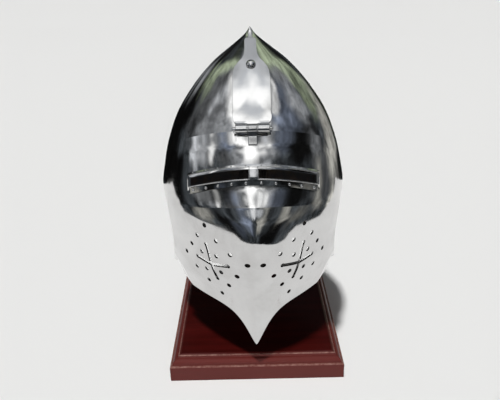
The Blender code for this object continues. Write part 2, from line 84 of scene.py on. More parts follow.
# outer surface of the visor, top to chin: front y, z; rear edge x, y, z; roundness
VISOR_ROWS = [
    (-82.6, 298.2, 79.0, -47.6, 277.8, 1.0),
    (-93.0, 283.5, 85.2, -46.5, 263.0, 1.0),
    (-99.3, 271.0, 89.5, -45.0, 248.0, 1.0),
    (-103.5, 260.5, 92.8, -44.0, 234.0, 1.0),
    (-108.5, 248.5, 95.4, -43.5, 219.0, 1.0),
    (-120.5, 231.5, 96.8, -43.5, 203.0, 0.92),
    (-127.5, 215.0, 96.0, -43.5, 189.0, 0.78),
    (-131.0, 197.0, 94.7, -43.0, 175.0, 0.63),
    (-126.7, 177.0, 94.0, -41.0, 161.0, 0.54),
    (-120.8, 152.8, 94.3, -38.0, 145.0, 0.49),
    (-114.4, 118.8, 95.4, -32.0, 126.0, 0.33),
    (-110.8, 84.5, 91.8, -29.5, 114.0, 0.28),
    (-107.2, 55.4, 85.0, -33.5, 105.0, 0.26),
]
# the row where the sheet folds, and how far aside the fold stays sharp
CREASE_ROW, CREASE_REACH = 5, 0.45
# how far the top edge's corners are rounded off
TOP_ROUND = 0.06
# the notch in the top edge that clears the hinge
NOTCH_HALF, NOTCH_LOW = 18.2, 293.2
# the lower edge: its height at the sides and at the chin, and how it falls between them
RIM_Z, CHIN_Z, CHIN_WIDE, CHIN_POWER = 97.6, 48.6, 16.1, 1.33
# how blunt the upright keel is, above and at the chin
KEEL_SOFT, CHIN_SOFT = 0.035, 0.52
# rough half width, top and height, from which visor_at starts looking
VISOR_HALF, VISOR_TOP, VISOR_TALL = 95.0, 295, 240.0
VISOR_EASE = 0.35

# the sights and their frame arch: they are this much lower at this distance aside
ARCH_DROP, ARCH_AT = 15.8, 65.0
SIGHT_LOW, SIGHT_HIGH = 256.2, 266.2
SIGHT_IN, SIGHT_OUT = 4.8, 64.0
FRAME_LOW, FRAME_HIGH, FRAME_HALF = 249.0, 268.6, 66.8
# the frame's sheet, how far its lips stand out, and how much its lower strip narrows midway
FRAME_SHEET, FRAME_RAISE, FRAME_WAIST, FRAME_EASE = 1.5, 2.0, 1.4, 0.35
# how much larger the openings are in the visor than in its frame
SIGHT_ROOM = 0.8
# the bead round each sight, and how far its middle stands off the frame
BEAD_RADIUS, BEAD_LIFT = 0.7, 0.1
RIVET_X = (7.4, 21.2, 34.6, 46.8, 60.2)
# each row of rivets: name, height, radius, rise
RIVET_ROWS = (("lower", 251.8, 1.5, 1.2), ("upper", 267.6, 0.8, 0.7))
# a rivet's straight foot under its dome, and how far it sinks to close the gap under it
RIVET_FOOT, RIVET_SINK = 0.2, 0.2

# the way a cheek faces in degrees, and the middle of its cross
CHEEK_AZ, CHEEK_EL = 40.0, -10.0
CROSS_AT = (46.5, -99.9, 157.4)
# the ends of the arms and the corners of the diamond lie so far forward and up from there
CROSS_ARMS = ((-4.2, 26.5), (-24.3, 1.5), (4.2, -21.5), (25.5, 5.2))
# a slot's width, and the radius of its drilled end as a share of that
CROSS_SLOT, CROSS_END = 4.0, 0.62
HOLE_RADIUS = 2.75
DIAMOND = {"top": (-1.6, 48.2), "rear": (-43.2, -2.1), "low": (4.1, -41.2), "front": (44.8, 9.7)}
# each side of the diamond: from, to, and how far its holes sag inwards
DIAMOND_SIDES = (("top", "rear", 0.0), ("rear", "low", 0.0), ("low", "front", 0.0),
                 ("front", "top", 2.2))
HOLES_A_SIDE = 3
INNER_HOLES = ((-12.8, 11.4), (9.2, 13.5), (-9.4, -9.9), (12.1, -6.8))
# the pegs that cut a cheek's openings: how far in they start, and their length
PEG_START, PEG_LENGTH = 26, 46
# the cutters for the visor's front: where they start, and how far back they go
CUT_FRONT, CUT_DEPTH = -125, 70

HINGE_Y, HINGE_Z = -84.0, 300.6
KNUCKLE_RADIUS, PIN_RADIUS, PIN_HALF = 4.4, 1.7, 20.5
KNUCKLE_EASE = 0.7
# the pin's rounded end: share of its radius, and distance from the end
PIN_END = ((0, 0), (0.6, 0.05), (0.9, 0.35), (1, 0.9))
KNUCKLES = ((-17.0, -5.2), (5.2, 17.0))
# half length of the leaf's knuckle, then the leaf's half width, sheet and rounding
LEAF_KNUCKLE = 4.4
LEAF_HALF, LEAF_SHEET, LEAF_ROUND = 4.6, 2.0, 0.8
# the leaf follows the visor up from its end in such steps
LEAF_END, LEAF_STEP, LEAF_STEPS = 286.0, 2.5, 4
# the tabs of the plate's knuckles: sheet, rounding, how far they stand further off the skull
# than the plate, and the heights where they start
TAB_SHEET, TAB_ROUND, TAB_LIFT = 1.7, 0.3, 0.2
TAB_ROOTS = (304.4, 302.3)
# where the tabs and the leaf run into their knuckles, back and up from the hinge's line
TAB_TOP, LEAF_TOP = (2.6, -0.4), (-2.2, -1.0)
PLATE_SHEET, PLATE_EASE = 2.0, 0.8
# half of the plate's outline, from its foot to the tongue's tip (x, z)
PLATE_OUTLINE = [(14.5, 301.9), (17.0, 302.6), (18.8, 304.3), (19.5, 306.9), (19.5, 339.5),
                 (18.9, 344.2), (17.0, 348.4), (13.2, 352.4), (9.4, 355.4), (7.3, 358.6),
                 (6.6, 362.4), (6.6, 370.4), (6.0, 372.2), (4.4, 373.0)]
# its mesh: lowest row, then the steps up and aside
PLATE_FIRST, PLATE_UP, PLATE_ASIDE = 300.8, 2.4, 2.6
# how much of the skull's roundness the plate and its tongue take up, and where one turns
# into the other
PLATE_FLAT, TONGUE_FLAT = 0.75, 0.15
TONGUE_LOW, TONGUE_HIGH = 348.0, 361.0
PLATE_RIVET_Z, PLATE_RIVET_RADIUS, PLATE_RIVET_RISE = 349.8, 5.3, 4.6

BASE_TOP, BASE_CORNER = 30.0, 0.5
# the base's edge, as half widths and heights: a plinth, an ovolo about a middle, the top
PLINTH_EDGE = [(101.6, 0.0), (102.0, 0.4), (102.0, 18.5), (101.8, 19.1), (101.3, 19.5),
               (99.6, 19.7), (99.1, 19.9)]
OVOLO_AT, OVOLO_SIZE = (93.1, 20.2), (5.9, 5.8)
TOP_EDGE = [(92.8, 26.2), (92.6, 26.6), (92.5, 27.8), (92.2, 28.4), (91.5, 28.8), (89.2, 29.8),
            (88.4, 30.0)]
# painted light: all below the top is paler, fading out over this height under it; these edges are paler
# too, partly wear and partly a painted highlight
SIDE_LIGHT_FADE, WEAR_AND_SHEEN_EDGES = 2.5, (19.3, 28.6)
POST_Y, POST_RADIUS, POST_TOP, POST_EASE = 28.0, 17.0, 371.6, 0.5


# ---------- surfaces
def smooth_curve(xs, ys):
    """A curve through the points that never overshoots them."""
    n = len(xs)
    step = [xs[i + 1] - xs[i] for i in range(n - 1)]
    slope = [(ys[i + 1] - ys[i]) / step[i] for i in range(n - 1)]
    tangent = [slope[0]] + [0.0] * (n - 2) + [slope[-1]]
    for i in range(1, n - 1):
        if slope[i - 1] * slope[i] > 0:
            a = 2 * step[i] + step[i - 1]
            b = step[i] + 2 * step[i - 1]
            tangent[i] = (a + b) / (a / slope[i - 1] + b / slope[i])

    def value(x):
        i = 0
        while i < n - 2 and x > xs[i + 1]:
            i += 1
        t = (x - xs[i]) / step[i]
        low = (2 * t ** 3 - 3 * t ** 2 + 1) * ys[i] + (t ** 3 - 2 * t ** 2 + t) * step[i] * tangent[i]
        high = (3 * t ** 2 - 2 * t ** 3) * ys[i + 1] + (t ** 3 - t ** 2) * step[i] * tangent[i + 1]
        return low + high

    return value


def eased(t):
    """0 below 0 and 1 above 1, with a smooth rise between."""
    t = min(1.0, max(0.0, t))
    return t * t * (3 - 2 * t)


def table_curves(rows, keys, first):
    """A curve for each column of a table, from the first one asked for."""
    return [smooth_curve(keys, [row[i] for row in rows]) for i in range(first, len(rows[0]))]


SKULL = table_curves(SKULL_ROWS, [row[0] for row in SKULL_ROWS], 1)


def skull_point(turn, z):
    """Outer surface of the skull: turn 0..1 round from the brow, at one height."""
    half, front, widest, back = [curve(z) for curve in SKULL]
    s, c = math.sin(2 * math.pi * turn), math.cos(2 * math.pi * turn)
    y = widest - (widest - front) * c if c > 0 else widest - (back - widest) * c
    return Vector((half * s, y, z))


def skull_front(x, z):
    """y of the skull's outer surface in front, at x and z."""
    half, front, widest, _ = [curve(z) for curve in SKULL]
    return widest - (widest - front) * math.sqrt(max(0.0, 1 - (x / half) ** 2))


def skull_off(x, z, gap):
    """A point at a distance in front of the skull, and the way out."""
    d = 0.2
    slope_x = (skull_front(x + d, z) - skull_front(x - d, z)) / (2 * d)
    slope_z = (skull_front(x, z + d) - skull_front(x, z - d)) / (2 * d)
    out = Vector((slope_x, -1.0, slope_z)).normalized()
    return Vector((x, skull_front(x, z), z)) + out * gap, out


def plate_off(x, z):
    """Inner face of the hinge plate, which is hammered flatter than the skull under it."""
    tongue = eased((z - TONGUE_LOW) / (TONGUE_HIGH - TONGUE_LOW))
    share = PLATE_FLAT + (TONGUE_FLAT - PLATE_FLAT) * tongue
    return skull_off(share * x, z, GAP)[0] + Vector(((1 - share) * x, 0.0, 0.0))


LAST = len(VISOR_ROWS) - 1
KEYS = [i / LAST for i in range(LAST + 1)]
CREASE = KEYS[CREASE_ROW]
VISOR_ALL = table_curves(VISOR_ROWS, KEYS, 0)
VISOR_UPPER = table_curves(VISOR_ROWS[:CREASE_ROW + 1], KEYS[:CREASE_ROW + 1], 0)
VISOR_LOWER = table_curves(VISOR_ROWS[CREASE_ROW:], KEYS[CREASE_ROW:], 0)


def lower_edge(x):
    """Height of the visor's lower edge."""
    return RIM_Z - (RIM_Z - CHIN_Z) * math.exp(-(abs(x) / CHIN_WIDE) ** CHIN_POWER)


def visor_point(u, v):
    """Outer surface of the visor: u -1..1 from edge to edge, v 0..1 from brow to chin."""
    side = abs(u)
    v += TOP_ROUND * (1 - v) ** 6 * max(0.0, (side - 0.8) / 0.2) ** 2
    sharp = math.exp(-(side / CREASE_REACH) ** 2)
    kinked = VISOR_UPPER if v <= CREASE else VISOR_LOWER
    row = [(1 - sharp) * a(v) + sharp * b(v) for a, b in zip(VISOR_ALL, kinked)]
    front_y, front_z, rear_x, rear_y, rear_z, roundness = row
    arc_x = math.sin(side * VISOR_ARC) / math.sin(VISOR_ARC)
    arc_y = (1 - math.cos(side * VISOR_ARC)) / (1 - math.cos(VISOR_ARC))
    soft = KEEL_SOFT + (CHIN_SOFT - KEEL_SOFT) * eased((v - 0.55) / 0.3)
    fold = (math.hypot(side, soft) - soft) / (math.hypot(1, soft) - soft)
    across = roundness * arc_x + (1 - roundness) * side
    back = roundness * arc_y + (1 - roundness) * fold
    x = rear_x * across
    y = front_y + (rear_y - front_y) * back
    z = front_z + (rear_z - front_z) * back
    # the lowest rows give way to the lower edge's own curve
    corner = (rear_z - RIM_Z) * max(0.0, side - 0.86) / 0.14
    chin = CHIN_Z + (VISOR_ROWS[-1][4] - CHIN_Z) * back
    z += eased((v - 0.72) / 0.28) * (lower_edge(x) + corner - chin)
    return Vector((math.copysign(x, u), y, z))


def visor_at(x, z):
    """u, v of the visor's surface point with this x and z, closed in on step by step."""
    u, v = x / VISOR_HALF, min(0.98, max(0.02, (VISOR_TOP - z) / VISOR_TALL))
    for _ in range(25):
        here = visor_point(u, v)
        miss_x, miss_z = x - here.x, z - here.z
        if abs(miss_x) + abs(miss_z) < 1e-4:
            break
        d = 1e-4
        du = (visor_point(u + d, v) - visor_point(u - d, v)) / (2 * d)
        dv = (visor_point(u, v + d) - visor_point(u, v - d)) / (2 * d)
        det = du.x * dv.z - du.z * dv.x
        u += max(-0.2, min(0.2, (miss_x * dv.z - miss_z * dv.x) / det))
        v += max(-0.1, min(0.1, (du.x * miss_z - du.z * miss_x) / det))
    return u, v


def visor_off(x, z, gap):
    """A point at a distance outside the visor, and the way out."""
    u, v = visor_at(x, z)
    d = 1e-3
    du = visor_point(u + d, v) - visor_point(u - d, v)
    dv = visor_point(u, v + d) - visor_point(u, v - d)
    out = dv.cross(du).normalized()
    if out.y > 0:
        out = -out
    return visor_point(u, v) + out * gap, out


def arch(x):
    """How much lower the sights and their frame are at x than in the middle."""
    return ARCH_DROP * (x / ARCH_AT) ** 2


def frame_off(x, height, gap):
    """A point of the sight frame, whose strips slope out to a lip round each sight."""
    below = max(0.0, (SIGHT_LOW - height) / (SIGHT_LOW - FRAME_LOW))
    above = max(0.0, (height - SIGHT_HIGH) / (FRAME_HIGH - SIGHT_HIGH))
    aside = max(0.0, (abs(x) - SIGHT_OUT) / (FRAME_HALF - SIGHT_OUT))
    waist = FRAME_WAIST * (1 - (x / FRAME_HALF) ** 2) * below
    raised = FRAME_RAISE * max(0.0, 1 - max(below, above, aside))
    return visor_off(x, height + waist - arch(x), gap + raised)


def frame_out(x, height):
    """The way out from the frame's own sloping face."""
    d = 0.3
    aside = frame_off(x + d, height, GAP)[0] - frame_off(x - d, height, GAP)[0]
    up = frame_off(x, height + d, GAP)[0] - frame_off(x, height - d, GAP)[0]
    return aside.cross(up).normalized()


# ---------- mesh helpers
def mesh_of(name, bm):
    """Makes loose mesh data of a bmesh."""
    mesh = bpy.data.meshes.new(name)
    bm.to_mesh(mesh)
    bm.free()
    return mesh


def object_of(name, bm, materials=()):
    """Makes a scene object of a bmesh, with a slot for each material."""
    obj = bpy.data.objects.new(name, mesh_of(name, bm))
    bpy.context.scene.collection.objects.link(obj)
    for material in materials:
        obj.data.materials.append(material)
    return obj


def laid_sheet(across, down, place):
    """A sheet of quads whose corners are laid where place(a, b) says, for each a and b listed."""
    bm = bmesh.new()
    columns, rows = len(across) - 1, len(down) - 1
    bmesh.ops.create_grid(bm, x_segments=columns, y_segments=rows, size=0.5)
    for vert in bm.verts:
        i = round((vert.co.x + 0.5) * columns)
        j = round((vert.co.y + 0.5) * rows)
        vert.co = place(across[i], down[j]) * MM
    return bm


def outward(bm, way):
    """Turns an open sheet so that it faces the given way."""
    total = Vector()
    bm.normal_update()
    for face in bm.faces:
        total += face.normal * face.calc_area()
    if total.dot(Vector(way)) < 0:
        bmesh.ops.reverse_faces(bm, faces=bm.faces)
    return bm


def thicken(obj, sheet, inwards=True, inner=0):
    """Gives a surface its wall; inner is the material slot of the wall's new side."""
    mod = obj.modifiers.new("wall", "SOLIDIFY")
    mod.thickness = sheet * MM
    mod.offset = -1.0 if inwards else 1.0
    mod.use_even_offset = True
    mod.use_quality_normals = True
    mod.material_offset = inner


def own_mesh(obj):
    """Makes the modifiers' result the piece's own mesh."""
    graph = bpy.context.evaluated_depsgraph_get()
    mesh = bpy.data.meshes.new_from_object(obj.evaluated_get(graph))
    old = obj.data
    obj.modifiers.clear()
    obj.data = mesh
    bpy.data.meshes.remove(old)


def smooth(obj, sharp=50):
    """Shades a piece smoothly, but for edges that turn more than so many degrees."""
    bm = bmesh.new()
    bm.from_mesh(obj.data)
    for face in bm.faces:
        face.smooth = True
    for edge in bm.edges:
        edge.smooth = not (edge.is_manifold and edge.calc_face_angle(0) > math.radians(sharp))
    bm.to_mesh(obj.data)
    bm.free()


def shape(obj, width, segments, cutters=()):
    """Cuts a piece, rounds its sharp edges and makes the result its mesh; the cutters go."""
    for cutter in cutters:
        mod = obj.modifiers.new("cut", "BOOLEAN")
        mod.operation = "DIFFERENCE"
        mod.solver = "EXACT"
        mod.object = cutter
    mod = obj.modifiers.new("eased edges", "BEVEL")
    mod.width = width * MM
    mod.segments = segments
    mod.limit_method = "ANGLE"
    mod.angle_limit = math.radians(EASE_ANGLE)
    mod.use_clamp_overlap = True
    mod.miter_outer = "MITER_ARC"
    own_mesh(obj)
    smooth(obj)
    for cutter in cutters:
        bpy.data.objects.remove(cutter, do_unlink=True)


def finished(obj, body, nodes, weighted=True):
    """Hands a piece over: it rides on its body and stands for its nodes.

    Where it is weighted, small faces take the light as the large ones beside them do.
    """
    if weighted:
        mod = obj.modifiers.new("even light", "WEIGHTED_NORMAL")
        mod.mode = "FACE_AREA_WITH_ANGLE"
        mod.weight = 60
        mod.keep_sharp = True
        own_mesh(obj)
    obj.data.name = obj.name
    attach(obj, body)
    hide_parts(*nodes)


def pushed(bm, points, push):
    """A flat outline pushed along a vector, as a closed solid added to bm."""
    face = bm.faces.new([bm.verts.new(Vector(p) * MM) for p in points])
    made = bmesh.ops.extrude_face_region(bm, geom=[face])
    moved = [g for g in made["geom"] if isinstance(g, bmesh.types.BMVert)]
    bmesh.ops.translate(bm, verts=moved, vec=Vector(push) * MM)


def cutter_of(name, bm):
    """Makes a cutter, which never shows, of closed solids."""
    bmesh.ops.recalc_face_normals(bm, faces=bm.faces)
    obj = object_of(name, bm)
    obj.hide_render = True
    return obj


def turned(profile, steps, place):
    """A closed solid of revolution about Z, laid by place; the profile is radius and height."""
    bm = bmesh.new()
    verts = [bm.verts.new((r * MM, 0, h * MM)) for r, h in profile]
    edges = [bm.edges.new(pair) for pair in zip(verts, verts[1:])]
    bmesh.ops.spin(bm, geom=verts + edges, cent=(0, 0, 0), axis=(0, 0, 1), angle=2 * math.pi,
                   steps=steps, use_merge=True)
    bmesh.ops.remove_doubles(bm, verts=bm.verts, dist=1e-7)
    bmesh.ops.transform(bm, matrix=place, verts=bm.verts)
    bmesh.ops.recalc_face_normals(bm, faces=bm.faces)
    return bm


def quarter_round(middle, size, steps):
    """Points of a profile up a quarter of an ellipse, from its side to its top."""
    turns = [math.pi / 2 * i / steps for i in range(steps + 1)]
    return [(middle[0] + size[0] * math.cos(a), middle[1] + size[1] * math.sin(a)) for a in turns]


def spread(start, stops):
    """Evenly stepped numbers from a start; each stop is how far, and the step up to there."""
    values = [start]
    for end, step in stops:
        count = max(1, round((end - start) / step))
        values += [start + (end - start) * (i + 1) / count for i in range(count)]
        start = end
    return values


def add_mesh(obj, meshes, slot=0):
    """Joins loose meshes into a piece, in one of its material slots."""
    bm = bmesh.new()
    bm.from_mesh(obj.data)
    for mesh in meshes:
        own = set(bm.faces)
        bm.from_mesh(mesh)
        for face in bm.faces:
            if face not in own:
                face.material_index = slot
        bpy.data.meshes.remove(mesh)
    bm.to_mesh(obj.data)
    bm.free()


# ---------- materials
class Finish:
    """One material's nodes, with its patterns laid on Object coordinates."""

    def __init__(self, name):
        self.material = bpy.data.materials.new(name)
        self.material.use_nodes = True
        self.tree = self.material.node_tree
        self.shader = self.tree.nodes["Principled BSDF"]
        self.place = self.add("ShaderNodeTexCoord").outputs["Object"]

    def add(self, kind, **settings):
        node = self.tree.nodes.new(kind)
        for key, value in settings.items():
            setattr(node, key, value)
        return node

    def put(self, value, socket):
        """Links another node's output to a socket, or sets a plain value on it."""
        if hasattr(value, "is_linked"):
            self.tree.links.new(value, socket)
        else:
            socket.default_value = value

    def fill(self, node, values):
        """Puts values on a node's named sockets."""
        for name, value in values.items():
            self.put(value, node.inputs[name])

    def noise(self, scale, detail=3.0, rough=0.5, stretch=(1, 1, 1), twist=0.0, turn=(0, 0, 0)):
        at = self.add("ShaderNodeMapping")
        self.fill(at, {"Vector": self.place, "Scale": stretch, "Rotation": turn})
        node = self.add("ShaderNodeTexNoise")
        self.fill(node, {"Vector": at.outputs[0], "Scale": scale, "Detail": detail,
                         "Roughness": rough, "Distortion": twist})
        return node.outputs["Fac"]

    def ranged(self, value, low, high, to_low=0.0, to_high=1.0):
        """Carries a value's range over to another one, and stops at its ends."""
        node = self.add("ShaderNodeMapRange", clamp=True)
        self.fill(node, {"Value": value, "From Min": low, "From Max": high,
                         "To Min": to_low, "To Max": to_high})
        return node.outputs["Result"]

    def fade(self, value, near, far, strength=1.0):
        """Full strength up to near and nothing past far, both in millimetres."""
        return self.ranged(value, near * MM, far * MM, strength, 0.0)

    def calc(self, first, second, operation):
        node = self.add("ShaderNodeMath", operation=operation)
        self.put(first, node.inputs[0])
        self.put(second, node.inputs[1])
        return node.outputs[0]

    def split(self, place):
        """The x, y and z of a place."""
        node = self.add("ShaderNodeSeparateXYZ")
        self.put(place, node.inputs[0])
        return node.outputs

    def blend(self, share, first, second, kind="MIX"):
        node = self.add("ShaderNodeMix", data_type="RGBA", blend_type=kind)
        self.put(share, node.inputs[0])
        self.put(first, node.inputs[6])
        self.put(second, node.inputs[7])
        return node.outputs[2]

    def bump(self, height, strength, distance, under=None):
        node = self.add("ShaderNodeBump")
        self.fill(node, {"Height": height, "Strength": strength, "Distance": distance})
        if under is not None:
            self.put(under, node.inputs["Normal"])
        return node.outputs["Normal"]

    def set(self, **values):
        """Puts values on the shader's sockets, whose names are written with underscores."""
        self.fill(self.shader, {key.replace("_", " "): value for key, value in values.items()})
        return self.material


def painted_shade_under_strip(f):
    """How much painted shade darkens the visor just under the sight strip, where its shadow falls."""
    x, _, z = f.split(f.place)
    drop = f.calc(f.calc(x, x, "MULTIPLY"), ARCH_DROP / ARCH_AT ** 2 / MM, "MULTIPLY")
    below = f.calc(f.calc(FRAME_LOW * MM, drop, "SUBTRACT"), z, "SUBTRACT")
    ragged = f.ranged(f.noise(90.0, 4.0, 0.7), 0.3, 0.7, -2 * MM, 2 * MM)
    below = f.calc(below, ragged, "ADD")
    # a painted shadow line along the whole strip, and painted shade that reaches lower on one side
    shadow_line = f.fade(below, 0.5, 2.5, 0.7)
    shade_patch = f.calc(f.fade(below, 9, 15, 0.8), f.fade(x, -27, -21), "MULTIPLY")
    strip_shade = f.calc(shadow_line, shade_patch, "MAXIMUM")
    # none of it lies over the strip or past its ends
    under = f.ranged(below, -3 * MM, -1.5 * MM)
    within = f.fade(f.calc(x, 0.0, "ABSOLUTE"), FRAME_HALF - 8, FRAME_HALF)
    return f.calc(f.calc(strip_shade, under, "MULTIPLY"), within, "MULTIPLY")


def polished_steel(name, wave, shine, tone=1.0, painted_shade=None):
    """Hand-polished sheet: slow hammer waves, fine polishing lines, and a little tarnish.

    wave is the waves' height in metres and shine the roughness of a clean spot. tone darkens
    the steel, and the last argument, given a finish, says how much painted shade darkens it from place to
    place.
    """
    f = Finish(name)
    bright, grey = (0.66, 0.66, 0.655, 1), (0.61, 0.612, 0.61, 1)
    brown, shade_grey = (0.47, 0.45, 0.42, 1), (0.09, 0.09, 0.085, 1)
    waves = f.noise(18.0, 1.0, 0.4)
    small = f.noise(75.0, 2.0, 0.5)
    lines = f.noise(60.0, 4.0, 0.6, (1, 1, 18))
    marks = f.noise(420.0, 3.0, 0.7, (1, 1, 5), 0.3)
    cloud = f.noise(26.0, 5.0, 0.65, twist=0.4)
    tarnish = f.ranged(cloud, 0.5, 0.75)
    colour = f.blend(f.ranged(cloud, 0.35, 0.65), bright, grey)
    colour = f.blend(f.calc(tarnish, 0.25, "MULTIPLY"), colour, brown)
    colour = f.blend(1.0, colour, (tone, tone, tone, 1), "MULTIPLY")
    # painted shade: where the mask says, the steel's colour goes towards a dark grey
    if painted_shade:
        colour = f.blend(painted_shade(f), colour, shade_grey)
    rough = f.calc(f.ranged(lines, 0.3, 0.7, shine, shine + 0.04),
                   f.ranged(marks, 0.55, 0.75, 0.0, 0.04), "ADD")
    rough = f.calc(rough, f.calc(tarnish, 0.05, "MULTIPLY"), "ADD")
    normal = f.bump(waves, 1.0, wave)
    normal = f.bump(small, 0.5, wave * 0.1, normal)
    normal = f.bump(lines, 0.2, 0.00002, normal)
    return f.set(Base_Color=colour, Metallic=1.0, Roughness=rough, Normal=normal)


def inside_steel():
    """The unpolished inner face of the sheet: dark, scaled, with a brown bloom."""
    f = Finish("inside_steel")
    scale, brown = (0.045, 0.045, 0.048, 1), (0.075, 0.055, 0.04, 1)
    bloom = f.noise(60.0, 5.0, 0.65)
    grit = f.noise(900.0, 3.0, 0.6)
    colour = f.blend(f.ranged(bloom, 0.4, 0.7), scale, brown)
    rough = f.ranged(grit, 0.3, 0.7, 0.45, 0.65)
    return f.set(Base_Color=colour, Metallic=0.7, Roughness=rough,
                 Normal=f.bump(grit, 0.4, 0.0002))


def mahogany():
    """Red-brown stained mahogany under gloss lacquer, its grain running from side to side."""
    f = Finish("mahogany_lacquer")
    deep, red = (0.036, 0.0026, 0.0022, 1), (0.054, 0.0046, 0.0038, 1)
    dark_grain, dark_pores = (0.018, 0.0016, 0.0012, 1), (0.010, 0.0012, 0.001, 1)
    painted_side_light, wear_and_sheen = (0.14, 0.03, 0.025, 1), (0.4, 0.24, 0.2, 1)
    broad = f.noise(9.0, 3.0, 0.55, (0.5, 5, 5), 1.2)
    grain = f.noise(60.0, 5.0, 0.65, (0.12, 3.5, 3.5), 0.6)
    pores = f.noise(420.0, 2.0, 0.6, (0.06, 2.2, 2.2))
    colour = f.blend(f.ranged(broad, 0.35, 0.65), deep, red)
    colour = f.blend(f.ranged(grain, 0.4, 0.68, 0.0, 0.55), colour, dark_grain)
    colour = f.blend(f.ranged(pores, 0.62, 0.72, 0.0, 0.6), colour, dark_pores)
    _, _, z = f.split(f.place)
    # painted light: all below the top is paler, as the sides take more light than the top
    colour = f.blend(f.fade(z, BASE_TOP - SIDE_LIGHT_FADE, BASE_TOP, 0.5), colour, painted_side_light)
    patchy = f.ranged(f.noise(160.0, 4.0, 0.7), 0.35, 0.65, 0.05, 0.5)
    # pale lines along these edges: partly real wear, partly a painted highlight
    for height in WEAR_AND_SHEEN_EDGES:
        off = f.calc(f.calc(z, height * MM, "SUBTRACT"), 0.0, "ABSOLUTE")
        wear_and_sheen_share = f.calc(f.fade(off, 0.3, 0.6), patchy, "MULTIPLY")
        colour = f.blend(wear_and_sheen_share, colour, wear_and_sheen)
    f.set(Coat_Weight=0.45, Coat_Roughness=0.3, Coat_IOR=1.45, IOR=1.4, Specular_IOR_Level=0.02)
    return f.set(Base_Color=colour, Roughness=f.ranged(grain, 0.3, 0.7, 0.3, 0.4),
                 Normal=f.bump(pores, 0.25, 0.00012))


def plain_wood():
    """Dark turned wood with its grain upright."""
    f = Finish("turned_wood")
    brown, dark, dark_pores = (0.022, 0.014, 0.009, 1), (0.014, 0.009, 0.006, 1), (0.008, 0.005, 0.004, 1)
    grain = f.noise(70.0, 4.0, 0.6, (4, 4, 0.15), 0.4)
    pores = f.noise(500.0, 2.0, 0.6, (2, 2, 0.1))
    colour = f.blend(f.ranged(grain, 0.35, 0.65), brown, dark)
    colour = f.blend(f.ranged(pores, 0.6, 0.7, 0.0, 0.5), colour, dark_pores)
    return f.set(Base_Color=colour, Roughness=f.ranged(grain, 0.3, 0.7, 0.55, 0.7),
                 Normal=f.bump(pores, 0.3, 0.0002))


# ---------- skull and visor
def make_skull(steel, inside):
    """The bowl: a raised tube of sheet that closes at the point, with the face cut out."""
    bm = bmesh.new()
    bmesh.ops.create_cone(bm, cap_ends=False, segments=SKULL_COLUMNS, radius1=1, radius2=1, depth=1)
    upright = [e for e in bm.edges if abs(e.verts[0].co.z - e.verts[1].co.z) > 0.5]
    bmesh.ops.subdivide_edges(bm, edges=upright, cuts=SKULL_LINES - 1)
    low, high = SKULL_ROWS[0][0], SKULL_ROWS[-1][0]
    for vert in bm.verts:
        turn = math.atan2(vert.co.x, -vert.co.y) / (2 * math.pi)
        t = vert.co.z + 0.5
        z = high - (high - low) * (1 - t) ** SKULL_GATHER
        point = skull_point(turn, min(z, high))
        if t > 0.9999:
            point = Vector((0, SKULL_ROWS[-1][3], high))
        vert.co = point * MM
    bmesh.ops.remove_doubles(bm, verts=bm.verts, dist=1e-6)
    bmesh.ops.recalc_face_normals(bm, faces=bm.faces)
    skull = object_of("skull_polished", bm, (steel, inside))
    thicken(skull, SKULL_WALL, inner=1)
    bm = bmesh.new()
    pushed(bm, [(-CUT_HALF, y, z) for y, z in SKULL_CUT], (2 * CUT_HALF, 0, 0))
    shape(skull, SKULL_EASE, 2, [cutter_of("face_cutter", bm)])
    finished(skull, HELMET, ["skull"])


def cross_outline():
    """Four slots meeting at the centre, each ending in a round drilled end."""
    arms = sorted((math.atan2(up, forward), math.hypot(forward, up)) for forward, up in CROSS_ARMS)
    half, end = CROSS_SLOT / 2, CROSS_SLOT * CROSS_END
    open_at = math.asin(half / end)
    steps = 12
    points = []
    for i, (angle, length) in enumerate(arms):
        after = arms[(i + 1) % 4][0] + (2 * math.pi if i == 3 else 0)
        along = Vector((math.cos(angle), math.sin(angle)))
        left = Vector((-along.y, along.x))
        middle = along * (length - end)
        for k in range(steps + 1):
            swing = -(math.pi - open_at) + 2 * (math.pi - open_at) * k / steps
            points.append(middle + along * end * math.cos(swing) + left * end * math.sin(swing))
        # the corner where this slot's edge meets the next one's
        between = (angle + after) / 2
        reach = half / math.sin((after - angle) / 2)
        points.append(Vector((math.cos(between), math.sin(between))) * reach)
    return points


def diamond_holes():
    """Middles of the breath holes: a diamond of them, and one between each two arms."""
    centres = []
    for start, end, sag in DIAMOND_SIDES:
        a, b = Vector(DIAMOND[start]), Vector(DIAMOND[end])
        along = (b - a).normalized()
        inwards = Vector((-along.y, along.x))
        for i in range(HOLES_A_SIDE):
            centres.append(a + (b - a) * (i / HOLES_A_SIDE) + inwards * (sag if i else 0.0))
    return centres + [Vector(p) for p in INNER_HOLES]


def breath_cutter(side):
    """The openings of one cheek as pegs standing square to the cheek."""
    az, el = math.radians(CHEEK_AZ), math.radians(CHEEK_EL)
    out = Vector((side * math.sin(az) * math.cos(el), -math.cos(az) * math.cos(el), math.sin(el)))
    forward = Vector((-side * math.cos(az), -math.sin(az), 0.0))
    up = Vector((-side * math.sin(az) * math.sin(el), math.cos(az) * math.sin(el), math.cos(el)))
    centre = Vector((side * CROSS_AT[0], CROSS_AT[1], CROSS_AT[2]))
    facets = 24
    turns = [2 * math.pi * k / facets for k in range(facets)]
    outlines = [cross_outline()]
    for hole in diamond_holes():
        outlines.append([hole + Vector((math.cos(a), math.sin(a))) * HOLE_RADIUS for a in turns])
    bm = bmesh.new()
    for outline in outlines:
        feet = [centre + forward * p.x + up * p.y - out * PEG_START for p in outline]
        pushed(bm, feet, out * PEG_LENGTH)
    return cutter_of("breath_cutter", bm)


def sight_columns(grow, count):
    """Even steps along one sight, from inner end to outer, with some room at both."""
    length = SIGHT_OUT - SIGHT_IN + 2 * grow
    return [SIGHT_IN - grow + length * i / count for i in range(count + 1)]


